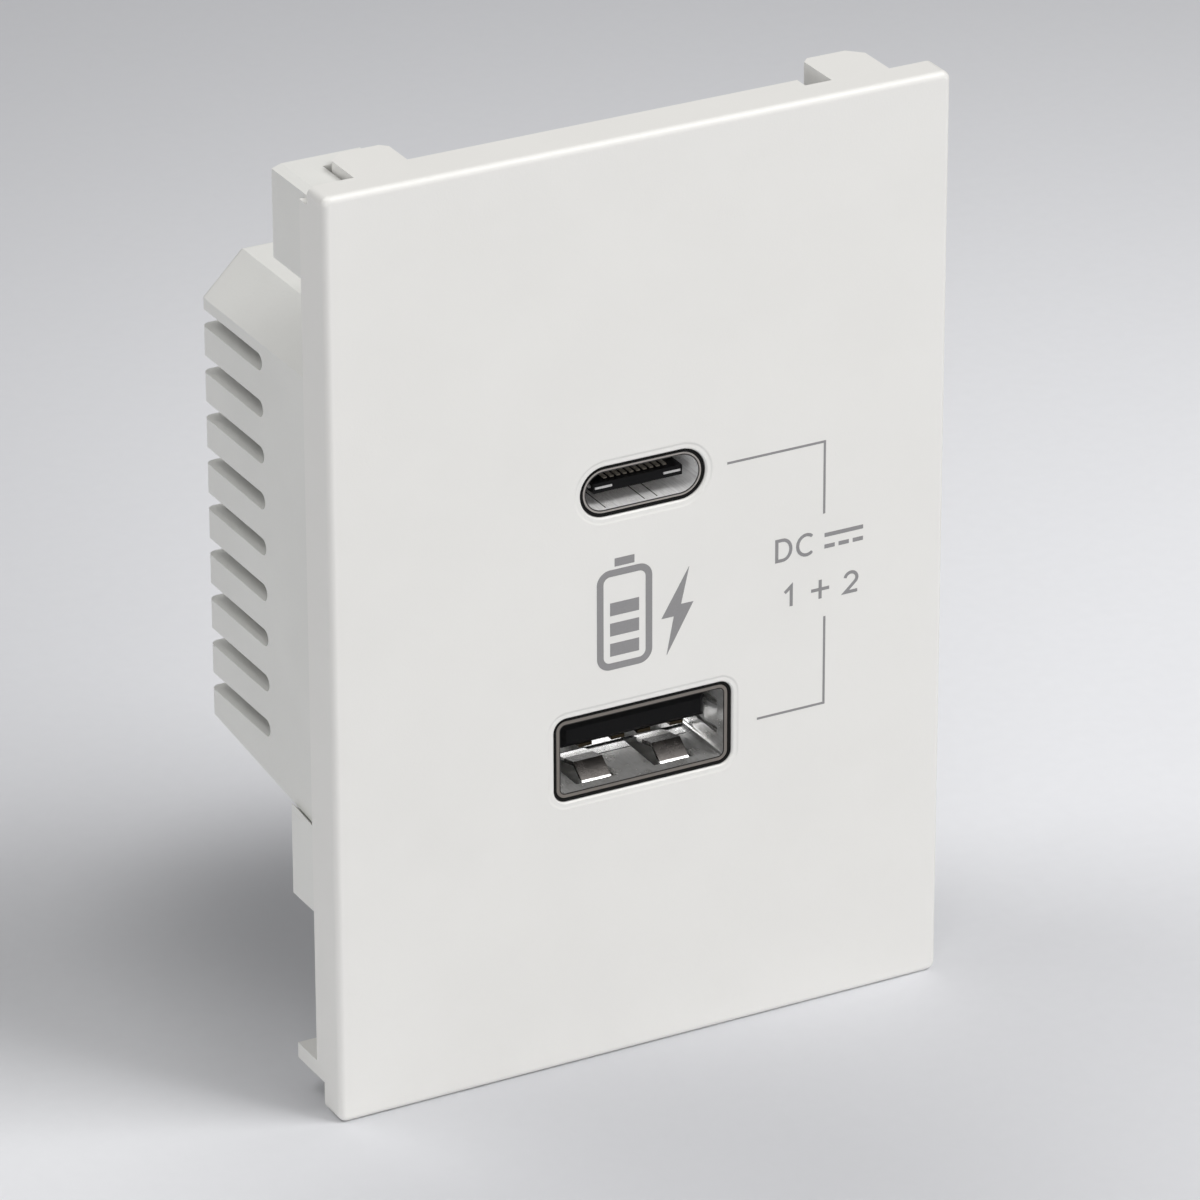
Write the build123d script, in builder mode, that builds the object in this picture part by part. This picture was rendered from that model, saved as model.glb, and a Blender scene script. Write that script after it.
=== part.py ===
from build123d import *
import os

# USB wall socket: a snap-in charger module for a wall frame, with a USB-A and a USB-C outlet.
# Millimetres. X runs right seen from the front, +Y runs into the wall and +Z is up.
# The origin is the centre of the plane where the plate's skirt seats on the wall frame.

# Driving dimensions of the front plate
plate_w = 46.5
plate_h = 67.5
slab_t = 2.4
skirt_d = 1.1
skirt_wall = 1.6
front_r = 0.45
corner_r = 0.6
lip_h = 2.1
notch_h = 1.2
relief_w = 2.0
rib_t = 1.0
rib_pitch = 13.0
rib_drop = 0.2

# Snap tabs along the top, and hooks at the bottom corners
tab_inset = 3.4
tab_w = 4.4
tab_t = 2.0
tab_d = 3.1
tab_chamfer = 1.0
hook_w = 5.0
hook_t = 1.15
hook_d = 2.9

# Outlets: shell sizes follow the standard receptacles
usb_a_z = -10.45
usb_a_w = 13.1
usb_a_h = 5.72
usb_a_r = 0.7
usb_c_z = 8.75
usb_c_w = 8.94
usb_c_h = 3.16
sheet_t = 0.3
port_gap = 0.28
window_chamfer = 0.1
gasket_recess = 0.15
gasket_d = 1.2
shell_recess = 0.2
receptacle_h = 10.3
finger_w = 2.2
finger_slit = 0.5
finger_len = 4.4
floor_rise = 1.0
roof_rise = 0.35
side_rise = 0.25
finger_knee = 1.3
finger_fall = 0.4
side_finger_w = 1.6
finger_setback = 0.9
finger_x = 3.0
wall_setback = 0.1
wall_lift = 0.12
c_sheet_t = 0.2
leg_w = 1.2
leg_len = 0.6

# Tongues, contacts and the plate inside the smaller tongue
a_tongue_w = 11.1
a_tongue_t = 1.84
a_tongue_drop = 0.66
a_tongue_recess = 1.2
a_base_d = 2.3
a_contact_w = 1.0
a_contact_t = 0.25
a_contact_xs = (-3.5, -1.0, 1.0, 3.5)
c_tongue_w = 6.69
c_tongue_t = 0.7
c_tongue_recess = 0.6
c_base_d = 3.3
c_plate_t = 0.16
c_plate_edge = 0.12
c_tab_w = 1.28
c_tab_inset = 0.12
c_contact_w = 0.26
c_contact_t = 0.1
c_contact_pitch = 0.5
c_contact_count = 10
tip_t = 0.4

# Boards and the stack behind the plate
board_t = 1.2
board_gap = 4.7
solder_gap = 1.3
port_board_gap = 0.8
board_margin = 1.47
link_pitch = 2.54
link_count = 4
link_pin = 0.64
link_body = 2.4
link_tail = 0.7
link_hole_r = 0.48

# Clip frame
frame_back = 0.9
frame_top_gap = 0.65
stake_margin = 0.7
clip_inset = 0.4
ear_len = 6.45
ear_d = 4.85
ear_drop = 0.7
ear_bevel = 0.65
ear_root = 3.45
ear_tab_gap = 0.15
right_ear_len = 3.0
arm_d = 3.95
arm_len = 3.2
arm_root = 3.4
port_room = 0.5
post_r = 1.2
post_inset = 1.6
post_spread = 8.2
stake_r = 0.9
stake_head_r = 1.5
stake_head_t = 0.6
stake_inset = 5.2
latch_w = 3.8
latch_t = 1.0
latch_d = 6.6
latch_gap = 0.25
latch_drop = 6.8
latch_lift = 4.4
bump_w = 2.0
bump_d = 1.2
bump_h = 0.7
bump_lead = 0.25
bump_y = 5.1

# Rear housing
housing_inset = 0.75
shell_room = 0.75
housing_rake = 1.8
housing_chamfer = 2.95
housing_wall = 1.6
housing_edge_r = 0.6
rim_gap = 0.1
vent_pitch = 3.37
vent_gap = 1.25
vent_len = 9.3
vent_wrap = 5.0
vent_margin = 1.45
board_post_r = 1.5
board_post_inset = 2.8
board_post_spread = 17.2

# Screw terminals
term_inset = 8.4
block_wall = 1.25
block_gap = 0.1
block_top_gap = 0.2
bridge_t = 2.4
head_recess = 0.8
head_r = 2.6
head_h = 1.8
head_chamfer = 0.2
head_slot_w = 0.8
head_slot_d = 0.9
head_play = 0.1
seat_t = 1.4
shank_r = 1.5
shank_play = 0.1
thread_play = 0.06
cage_in_w = 4.4
cage_t = 1.0
cage_d = 5.6
cage_play = 0.15
thread_t = 1.4
cage_travel = 2.4
wire_gap = 3.4
wire_r = 1.75
busbar_w = 4.0
busbar_t = 1.0
busbar_play = 0.1
busbar_drop = 1.6
tail_w = 1.2
tail_len = 0.8

# Power parts on the main board
core_w = 10.2
core_h = 11.0
core_t = 4.75
core_leg = 2.5
core_back = 1.3
core_window = 2.75
winding_gap = 0.3
winding_out = 2.4
bobbin_t = 0.6
transformer_inset = 0.4
transformer_drop = 0.75
can_r = 4.2
can_len = 16.0
can_groove = 0.35
can_groove_lift = 1.4
can_inset = 1.0
can_edge_r = 0.6
small_can_r = 2.4
small_can_room = 0.4
small_can_pitch = 5.2
small_can_inset = 6.2
small_can_lift = 3.0
chip_w = 4.9
chip_d = 3.9
chip_t = 1.5
chip_x = -4.2
chip_drop = 4.15
lead_w = 0.42
lead_pitch = 1.27
lead_out = 1.0
lead_t = 0.2
lead_count = 4
bridge_w = 4.7
bridge_d = 4.0
bridge_h = 2.4
bridge_bevel = 0.3
bridge_x = 4.4
bridge_lift = 5.2
fuse_r = 1.4
fuse_len = 6.4
fuse_neck = 0.3
fuse_drop = 2.6
choke_r = 2.4
choke_room = 0.9
choke_waist = 1.5
choke_flange = 0.8
choke_x = 4.6
choke_drop = 6.35
disc_r = 2.7
disc_t = 2.3
disc_x = -4.8
disc_lift = 4.25
disc_edge_r = 0.9

# Small fits shared by several pieces
fit_gap = 0.05
seat_gap = 0.05
over = 1.0

# Places worked out from the driving dimensions
SIDES = (-1, 1)
plate_top = plate_h / 2
skirt_bottom = -plate_h / 2 + lip_h
skirt_h = plate_h - lip_h
skirt_mid_z = lip_h / 2
front_y = -(slab_t + skirt_d)
slab_back_y = -skirt_d
notch_floor = plate_top - notch_h
tab_end_x = plate_w / 2 - tab_inset
tab_x = tab_end_x - tab_w
clip_x = plate_w / 2 - clip_inset

# The stack from the plate back to the housing's back wall
shell_front_y = front_y + shell_recess
port_board_y = shell_front_y + receptacle_h
port_board_back = port_board_y + board_t
main_board_y = port_board_back + board_gap
main_board_back = main_board_y + board_t
inner_back_y = main_board_back + solder_gap
housing_back_y = inner_back_y + housing_wall

# Spring fingers of the larger shell
finger_root_y = shell_front_y + finger_setback
finger_ys = (finger_root_y, finger_root_y + finger_len)
finger_tip_y = finger_ys[1] - finger_slit

# Widths that follow the plate
housing_hw = plate_w / 2 - housing_inset
housing_inner_hw = housing_hw - housing_wall
frame_hw = housing_inner_hw - latch_gap
main_board_hw = housing_inner_hw - 2 * latch_gap
port_board_hw = main_board_hw - transformer_inset - core_w - port_board_gap
post_x = port_board_hw - post_inset
term_x = housing_inner_hw - term_inset
stake_x = frame_hw - stake_inset

# Heights that follow the two outlets
board_top = usb_c_z + usb_c_h / 2 + board_margin
block_bottom = board_top + block_top_gap
cavity_bottom = block_bottom + block_wall
cavity_top = cavity_bottom + cage_d + 2 * cage_play
block_top = cavity_top + block_wall
term_z = (cavity_top + cavity_bottom) / 2
housing_top = block_top + block_top_gap + housing_wall
shell_foot = usb_a_z - usb_a_h / 2
rake_at_ports = housing_rake * (housing_back_y - port_board_y) / housing_back_y
housing_bottom = shell_foot - shell_room - housing_wall + rake_at_ports
link_z = (usb_a_z + usb_c_z) / 2
busbar_z = board_top - busbar_drop
latch_zs = (housing_bottom + latch_lift, housing_top - latch_drop)
post_zs = (link_z - post_spread / 2, link_z + post_spread / 2)

# Clip frame and vents
frame_top = plate_top - skirt_wall - frame_top_gap
left_ear_top = plate_top - ear_drop
ear_bottom = left_ear_top - ear_len
right_ear_top = ear_bottom + right_ear_len
vent_front = housing_back_y - vent_len
vent_top_z = housing_top - housing_chamfer - vent_margin
vent_foot_z = housing_bottom + housing_chamfer + vent_margin
vent_count = int((vent_top_z - vent_foot_z) / vent_pitch) + 1

# The screw terminals stack from the back wall forwards
head_top_y = housing_back_y - head_recess
head_base_y = head_top_y - head_h
seat_y = head_base_y - head_play
cavity_back_y = seat_y - seat_t
cage_back_y = cavity_back_y - head_play - cage_travel
cage_inner_back_y = cage_back_y - thread_t
busbar_back_y = cage_inner_back_y - 2 * cage_play
busbar_y = busbar_back_y - busbar_t
cage_inner_y = busbar_y - wire_gap
cage_y = cage_inner_y - cage_t
cavity_y = cage_y - cage_play
wire_y = (busbar_y + cage_inner_y) / 2
tip_y = busbar_back_y + head_play
cage_w = cage_in_w + 2 * cage_t
cavity_w = cage_w + 2 * cage_play
block_y = frame_back + block_gap
block_back_y = inner_back_y - block_gap

# Places of the power parts on the main board
transformer_x = -(main_board_hw - core_w / 2 - transformer_inset)
transformer_z = link_z - transformer_drop
can_x = main_board_hw - can_r - can_inset
can_z = link_z
small_can_h = board_gap - small_can_room
small_can_mid_x = small_can_inset - main_board_hw
small_can_xs = (small_can_mid_x - small_can_pitch / 2, small_can_mid_x + small_can_pitch / 2)
chip_z = link_z - chip_drop
bridge_z = link_z + bridge_lift
fuse_z = board_top - fuse_drop
choke_z = link_z - choke_drop
choke_h = board_gap - choke_room
disc_z = link_z + disc_lift
board_post_x = main_board_hw - board_post_inset


def wall_plane(y):
    """Sketch plane parallel to the plate at depth y: local x is X, local y is Z, extrude is forwards."""
    return Plane.XZ.offset(-y)


def side_plane(x):
    """Sketch plane across the socket at x: local x is Y, local y is Z, extrude runs to the right."""
    return Plane.YZ.offset(x)


def level_plane(z):
    """Sketch plane at height z: local x is X, local y is Y, extrude runs upwards."""
    return Plane.XY.offset(z)


def block(xs, ys, zs, mode=Mode.ADD):
    """Add or cut a straight block between two x, two y and two z values."""
    with BuildSketch(wall_plane(ys[1])) as face:
        with Locations(((xs[0] + xs[1]) / 2, (zs[0] + zs[1]) / 2)):
            Rectangle(xs[1] - xs[0], zs[1] - zs[0])
    extrude(face.sketch, amount=ys[1] - ys[0], mode=mode)


def rod(x, z, radius, ys, mode=Mode.ADD):
    """Add or cut a round rod along Y at (x, z), between two depths."""
    with BuildSketch(wall_plane(ys[1])) as face:
        with Locations((x, z)):
            Circle(radius)
    extrude(face.sketch, amount=ys[1] - ys[0], mode=mode)


def housing_floor(y):
    """Height of the housing's underside at depth y: it rakes down towards the plate."""
    return housing_bottom - housing_rake * (housing_back_y - y) / housing_back_y


def housing_section(y, inset):
    """Face across the housing at depth y: a box outline with 45 degree corners, drawn in by inset."""
    top = housing_top - inset
    floor = housing_floor(y) + inset
    corner = housing_chamfer - inset * (2 - 2 ** 0.5)
    with BuildSketch(wall_plane(y)) as section:
        with Locations((0, (top + floor) / 2)):
            Rectangle(2 * (housing_hw - inset), top - floor)
        chamfer(section.vertices(), corner)
    return section.sketch


# Heights that follow the housing's raked floor: the stakes, the frame's foot, the arms and the boards
stake_zs = (housing_floor(frame_back) - stake_head_r - 2 * latch_gap, (housing_top + frame_top) / 2)
frame_foot_z = stake_zs[0] - stake_head_r - stake_margin
arm_bottom = housing_floor(0) - arm_len
port_floor = housing_floor(port_board_y) + housing_wall + latch_gap
board_floor = housing_floor(main_board_y) + housing_wall + 2 * latch_gap
board_mid_z = (board_floor + board_top) / 2
board_post_zs = (board_mid_z - board_post_spread / 2, board_mid_z + board_post_spread / 2)
small_can_z = board_floor + small_can_lift


def finger_line(rise):
    """Points of a bent finger, as (depth, height over the sheet's outer face), to its tip and back."""
    knee_y = finger_root_y + finger_knee
    tip_rise = rise * finger_fall
    return [
        (finger_root_y - sheet_t, 0),
        (finger_root_y, 0),
        (knee_y, rise),
        (finger_tip_y, tip_rise),
        (finger_tip_y, tip_rise + sheet_t),
        (knee_y, rise + sheet_t),
        (finger_root_y, sheet_t),
        (finger_root_y - sheet_t, sheet_t),
    ]


# Front cover: rounded plate, skirt, windows, snap tabs, hooks, ribs and the stakes that hold the frame
with BuildPart() as front_cover:
    with BuildSketch(wall_plane(slab_back_y)):
        RectangleRounded(plate_w, plate_h, corner_r)
    extrude(amount=slab_t)
    fillet(front_cover.faces().sort_by(Axis.Y)[0].edges(), front_r)
    with BuildSketch(wall_plane(0)):
        with Locations((0, skirt_mid_z)):
            RectangleRounded(plate_w, skirt_h, corner_r)
            Rectangle(plate_w - 2 * skirt_wall, skirt_h - 2 * skirt_wall, mode=Mode.SUBTRACT)
    extrude(amount=skirt_d)
    for side in SIDES:
        notch = sorted((side * tab_end_x, side * (plate_w / 2 + over)))
        block(notch, (slab_back_y, over), (notch_floor, plate_top + over), Mode.SUBTRACT)
        with BuildSketch(level_plane(plate_top - tab_t)) as tab:
            Polygon(
                (side * tab_x, slab_back_y),
                (side * tab_end_x, slab_back_y),
                (side * tab_end_x, tab_d - tab_chamfer),
                (side * (tab_end_x - tab_chamfer), tab_d),
                (side * (tab_x + tab_chamfer / 2), tab_d),
                (side * tab_x, tab_d - tab_chamfer / 2),
            )
        extrude(amount=tab_t)
        hook = sorted((side * (plate_w / 2 - hook_w), side * plate_w / 2))
        block(hook, (slab_back_y, hook_d), (skirt_bottom, skirt_bottom + hook_t))
        for z in stake_zs:
            rod(side * stake_x, z, stake_r, (slab_back_y, frame_back))
            rod(side * stake_x, z, stake_head_r, (frame_back, frame_back + stake_head_t))
    relief_x = (tab_x - relief_w, tab_x)
    block(relief_x, (slab_back_y, over), (notch_floor, plate_top + over), Mode.SUBTRACT)
    rib_z = (skirt_bottom + rib_t, frame_foot_z - rib_t)
    for x in (-rib_pitch, 0, rib_pitch):
        block((x - rib_t / 2, x + rib_t / 2), (slab_back_y, -rib_drop), rib_z)
    with BuildSketch(wall_plane(slab_back_y)):
        with Locations((0, usb_a_z)):
            RectangleRounded(usb_a_w + 2 * port_gap, usb_a_h + 2 * port_gap, usb_a_r + port_gap)
        with Locations((0, usb_c_z)):
            SlotOverall(usb_c_w + 2 * port_gap, usb_c_h + 2 * port_gap)
    extrude(amount=slab_t, mode=Mode.SUBTRACT)
    face_plate = front_cover.faces().sort_by(Axis.Y)[0]
    chamfer([edge for wire in face_plate.inner_wires() for edge in wire.edges()], window_chamfer)

# Clip frame: plate staked behind the cover, with ears, side arms, board posts and housing latches
with BuildPart() as clip_frame:
    frame_ys = (slab_back_y, frame_back)
    block((-frame_hw, frame_hw), frame_ys, (frame_foot_z, frame_top))
    for side in SIDES:
        root_x = side * (clip_x - ear_root)
        tab_side_x = side * (tab_end_x + ear_tab_gap)
        ear_top = left_ear_top if side < 0 else right_ear_top
        shoulder_z = min(frame_top, ear_top - ear_bevel)
        with BuildSketch(wall_plane(ear_d)) as ear:
            Polygon(
                (tab_side_x, ear_bottom),
                (side * clip_x, ear_bottom),
                (side * clip_x, ear_top),
                (tab_side_x, ear_top),
            )
            chamfer(ear.vertices().group_by(Axis.Y)[-1].sort_by(Axis.X)[min(-side, 0)], ear_bevel)
            Polygon(
                (root_x, ear_bottom),
                (tab_side_x, ear_bottom),
                (tab_side_x, shoulder_z),
                (root_x, shoulder_z),
            )
        extrude(amount=ear_d - fit_gap)
        if side < 0:
            crown_x = (-(clip_x - ear_bevel), tab_side_x)
            block(crown_x, (slab_back_y + fit_gap, ear_d), (notch_floor + fit_gap, ear_top))
            strip_x = (tab_side_x - ear_tab_gap, -(tab_x + tab_chamfer))
            block(strip_x, (tab_d + fit_gap, ear_d), (shoulder_z, ear_top))
        with BuildSketch(wall_plane(arm_d)) as arm:
            slope_z = housing_floor(0) + housing_chamfer - 2 * cage_play
            Polygon(
                (side * clip_x, arm_bottom),
                (side * clip_x, slope_z - (housing_hw - clip_x)),
                (side * (clip_x - arm_root), slope_z - (housing_hw - clip_x) - arm_root),
                (side * (clip_x - arm_root), arm_bottom),
            )
        extrude(amount=arm_d - fit_gap)
        latch_xs = sorted((side * frame_hw, side * (frame_hw - latch_t)))
        for z in latch_zs:
            block(latch_xs, (frame_back, latch_d), (z - latch_w / 2, z + latch_w / 2))
            eye_y = (bump_y - bump_d / 2 - latch_gap, bump_y + bump_d / 2 + latch_gap)
            eye_z = (z - bump_w / 2 - latch_gap, z + bump_w / 2 + latch_gap)
            block(latch_xs, eye_y, eye_z, Mode.SUBTRACT)
        for z in post_zs:
            rod(side * post_x, z, post_r, (frame_back, port_board_y - seat_gap))
        for z in stake_zs:
            rod(side * stake_x, z, stake_r + fit_gap, frame_ys, Mode.SUBTRACT)
    with BuildSketch(wall_plane(frame_back)):
        with Locations((0, usb_a_z)):
            RectangleRounded(usb_a_w + 2 * port_room, usb_a_h + 2 * port_room, usb_a_r + port_room)
        with Locations((0, usb_c_z)):
            SlotOverall(usb_c_w + 2 * port_room, usb_c_h + 2 * port_room)
    extrude(amount=frame_back - slab_back_y, mode=Mode.SUBTRACT)

# Rear housing: raked box with 45 degree edges, side vents that wrap onto the back, wire and screw holes
with BuildPart() as rear_housing:
    loft([housing_section(rim_gap, 0), housing_section(housing_back_y, 0)], ruled=True)
    fillet(rear_housing.faces().sort_by(Axis.Y)[-1].edges(), housing_edge_r)
    inner = [housing_section(rim_gap, housing_wall), housing_section(inner_back_y, housing_wall)]
    loft(inner, ruled=True, mode=Mode.SUBTRACT)
    rim_x = (-housing_inner_hw, housing_inner_hw)
    block(rim_x, (-over, frame_back + rim_gap), (frame_foot_z, frame_top), Mode.SUBTRACT)
    for side in SIDES:
        with BuildSketch(side_plane(side * (housing_hw - vent_wrap))) as vents:
            for row in range(vent_count):
                with Locations((vent_front + vent_gap / 2, vent_top_z - row * vent_pitch)):
                    Circle(vent_gap / 2)
                    Rectangle(vent_len + over, vent_gap, align=(Align.MIN, Align.CENTER))
        extrude(vents.sketch, amount=side * (vent_wrap + over), mode=Mode.SUBTRACT)
        for z in latch_zs:
            with BuildSketch(level_plane(z - bump_w / 2)) as bump:
                Polygon(
                    (side * (housing_inner_hw + fit_gap), bump_y - bump_d / 2),
                    (side * (housing_inner_hw - bump_lead), bump_y - bump_d / 2),
                    (side * (housing_inner_hw - bump_h), bump_y + bump_d / 2),
                    (side * (housing_inner_hw + fit_gap), bump_y + bump_d / 2),
                )
            extrude(bump.sketch, amount=bump_w)
        for z in board_post_zs:
            rod(side * board_post_x, z, board_post_r, (main_board_back, inner_back_y + fit_gap))
        driver_ys = (inner_back_y - over, housing_back_y + over)
        rod(side * term_x, term_z, head_r + 2 * head_play, driver_ys, Mode.SUBTRACT)
        with BuildSketch(level_plane(block_top)) as entry:
            with Locations((side * term_x, wire_y)):
                Circle(wire_r)
        extrude(entry.sketch, amount=housing_top - block_top + over, mode=Mode.SUBTRACT)

# Gaskets: thin rings that close the gap between each shell and its window
gasket_back_y = front_y + gasket_recess + gasket_d
ring_out = port_gap - fit_gap
with BuildPart() as usb_a_gasket:
    with BuildSketch(wall_plane(gasket_back_y)):
        with Locations((0, usb_a_z)):
            RectangleRounded(usb_a_w + 2 * ring_out, usb_a_h + 2 * ring_out, usb_a_r + ring_out)
            bore_w, bore_h = usb_a_w + 2 * fit_gap, usb_a_h + 2 * fit_gap
            RectangleRounded(bore_w, bore_h, usb_a_r + fit_gap, mode=Mode.SUBTRACT)
    extrude(amount=gasket_d)
with BuildPart() as usb_c_gasket:
    with BuildSketch(wall_plane(gasket_back_y)):
        with Locations((0, usb_c_z)):
            SlotOverall(usb_c_w + 2 * ring_out, usb_c_h + 2 * ring_out)
            SlotOverall(usb_c_w + 2 * fit_gap, usb_c_h + 2 * fit_gap, mode=Mode.SUBTRACT)
    extrude(amount=gasket_d)

# Places inside the larger receptacle, shared by its shell, tongue, contacts and the port board
a_inner_w = usb_a_w - 2 * sheet_t
a_inner_h = usb_a_h - 2 * sheet_t
a_inner_top = usb_a_z + usb_a_h / 2 - sheet_t
a_tongue_top = a_inner_top - a_tongue_drop
a_tongue_bottom = a_tongue_top - a_tongue_t
a_base_y = port_board_y - seat_gap - a_base_d
a_contact_z = (a_tongue_bottom - fit_gap - a_contact_t, a_tongue_bottom - fit_gap)
a_wall_y = finger_ys[1] + wall_setback
a_wall_z = (usb_a_z - a_inner_h / 2 + wall_lift, a_contact_z[0] - fit_gap)
leg_ys = (port_board_y - over, port_board_back + leg_len)

# USB-A shell: folded sheet with spring fingers in all four walls, a flap below the tongue that closes
# the mouth behind them, and two legs through the port board
with BuildPart() as usb_a_shell:
    with BuildSketch(wall_plane(port_board_y)):
        with Locations((0, usb_a_z)):
            RectangleRounded(usb_a_w, usb_a_h, usb_a_r)
            RectangleRounded(a_inner_w, a_inner_h, usb_a_r - sheet_t, mode=Mode.SUBTRACT)
    extrude(amount=receptacle_h)
    block((-usb_a_w / 2 + fit_gap, usb_a_w / 2 - fit_gap), (a_wall_y, a_wall_y + sheet_t), a_wall_z)
    slit_hw = finger_w / 2 + finger_slit
    side_slit_hw = side_finger_w / 2 + finger_slit
    leg_z = (usb_a_z - leg_w / 2, usb_a_z + leg_w / 2)
    for side in SIDES:
        wall_z = usb_a_z + side * usb_a_h / 2
        rise = floor_rise if side < 0 else roof_rise
        wall_x = side * usb_a_w / 2
        for x in (-finger_x, finger_x):
            slit_z = sorted((wall_z + side * over, wall_z - side * (sheet_t + fit_gap)))
            block((x - slit_hw, x + slit_hw), finger_ys, slit_z, Mode.SUBTRACT)
            with BuildSketch(side_plane(x - finger_w / 2)) as finger:
                Polygon(*[(y, wall_z - side * h) for y, h in finger_line(rise)])
            extrude(finger.sketch, amount=finger_w)
        slit_x = sorted((wall_x + side * over, wall_x - side * (sheet_t + fit_gap)))
        block(slit_x, finger_ys, (usb_a_z - side_slit_hw, usb_a_z + side_slit_hw), Mode.SUBTRACT)
        with BuildSketch(level_plane(usb_a_z - side_finger_w / 2)) as finger:
            Polygon(*[(wall_x - side * h, y) for y, h in finger_line(side_rise)])
        extrude(finger.sketch, amount=side_finger_w)
        leg_x = sorted((wall_x, wall_x - side * sheet_t))
        block(leg_x, leg_ys, leg_z)

# USB-A insulator: base at the back of the shell and the tongue that carries the contacts
with BuildPart() as usb_a_insulator:
    with BuildSketch(wall_plane(port_board_y - seat_gap)):
        with Locations((0, usb_a_z)):
            Rectangle(a_inner_w - 2 * fit_gap, a_inner_h - 2 * fit_gap)
    extrude(amount=a_base_d)
    chamfer(usb_a_insulator.edges().filter_by(Axis.Y), usb_a_r - sheet_t)
    tongue_ys = (shell_front_y + a_tongue_recess, a_base_y)
    block((-a_tongue_w / 2, a_tongue_w / 2), tongue_ys, (a_tongue_bottom, a_tongue_top))
    chamfer(usb_a_insulator.faces().sort_by(Axis.Y)[0].edges(), tip_t)
    for x in a_contact_xs:
        slot_x = (x - a_contact_w / 2 - fit_gap, x + a_contact_w / 2 + fit_gap)
        slot_z = (a_contact_z[0] - fit_gap, a_contact_z[1] + fit_gap)
        block(slot_x, (a_base_y, port_board_y), slot_z, Mode.SUBTRACT)

# USB-A contacts: four strips under the tongue, with their tails through the port board
with BuildPart() as usb_a_contacts:
    for x in a_contact_xs:
        contact_ys = (shell_front_y + a_tongue_recess + tip_t, port_board_back + leg_len)
        block((x - a_contact_w / 2, x + a_contact_w / 2), contact_ys, a_contact_z)

# USB-C shell: drawn stadium tube with two legs through the port board
with BuildPart() as usb_c_shell:
    with BuildSketch(wall_plane(port_board_y)):
        with Locations((0, usb_c_z)):
            SlotOverall(usb_c_w, usb_c_h)
            SlotOverall(usb_c_w - 2 * c_sheet_t, usb_c_h - 2 * c_sheet_t, mode=Mode.SUBTRACT)
    extrude(amount=receptacle_h)
    for side in SIDES:
        leg_x = sorted((side * usb_c_w / 2, side * (usb_c_w / 2 - c_sheet_t)))
        block(leg_x, leg_ys, (usb_c_z - leg_w / 2, usb_c_z + leg_w / 2))

# USB-C insulator: stadium base and a thin tongue, slit for the plate between its two rows of contacts
c_base_y = port_board_y - seat_gap - c_base_d
c_tip_y = shell_front_y + c_tongue_recess
c_row_z = c_tongue_t / 2 + fit_gap
c_tab_x = (c_tongue_w / 2 - c_tab_inset - c_tab_w, c_tongue_w / 2 - c_tab_inset)
with BuildPart() as usb_c_insulator:
    with BuildSketch(wall_plane(port_board_y - seat_gap)):
        with Locations((0, usb_c_z)):
            SlotOverall(usb_c_w - 2 * (c_sheet_t + fit_gap), usb_c_h - 2 * (c_sheet_t + fit_gap))
    extrude(amount=c_base_d)
    tongue_z = (usb_c_z - c_tongue_t / 2, usb_c_z + c_tongue_t / 2)
    block((-c_tongue_w / 2, c_tongue_w / 2), (c_tip_y, c_base_y), tongue_z)
    slit_z = (usb_c_z - c_plate_t / 2 - fit_gap / 2, usb_c_z + c_plate_t / 2 + fit_gap / 2)
    slit_x = (-c_tongue_w / 2 - over, c_tongue_w / 2 + over)
    block(slit_x, (c_tip_y + tip_t, port_board_y - over), slit_z, Mode.SUBTRACT)
    row_hw = (c_contact_count - 1) * c_contact_pitch / 2 + c_contact_w
    for side in SIDES:
        tip_x = sorted((side * (c_tab_x[0] - fit_gap), side * (c_tab_x[1] + fit_gap)))
        block(tip_x, (c_tip_y, c_tip_y + tip_t), slit_z, Mode.SUBTRACT)
        row_foot = usb_c_z + side * c_tongue_t / 2
        row_crest = usb_c_z + side * (c_row_z + c_contact_t + fit_gap)
        row_z = sorted((row_foot, row_crest))
        block((-row_hw, row_hw), (c_base_y, port_board_y), row_z, Mode.SUBTRACT)

# USB-C mid plate: thin sheet in the tongue, proud at both sides, with two tabs that show at the tip
with BuildPart() as usb_c_mid_plate:
    plate_hw = c_tongue_w / 2 + c_plate_edge
    plate_ys = (c_tip_y + tip_t + fit_gap, port_board_y - over - fit_gap)
    plate_z = (usb_c_z - c_plate_t / 2, usb_c_z + c_plate_t / 2)
    block((-plate_hw, plate_hw), plate_ys, plate_z)
    for side in SIDES:
        block(sorted((side * c_tab_x[0], side * c_tab_x[1])), (c_tip_y, plate_ys[0]), plate_z)

# USB-C contacts: two rows of fine strips along the tongue
with BuildPart() as usb_c_contacts:
    for side in SIDES:
        strip_z = sorted((usb_c_z + side * c_row_z, usb_c_z + side * (c_row_z + c_contact_t)))
        for column in range(c_contact_count):
            x = (column - (c_contact_count - 1) / 2) * c_contact_pitch
            strip_x = (x - c_contact_w / 2, x + c_contact_w / 2)
            block(strip_x, (c_tip_y + tip_t, port_board_y - seat_gap), strip_z)

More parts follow.
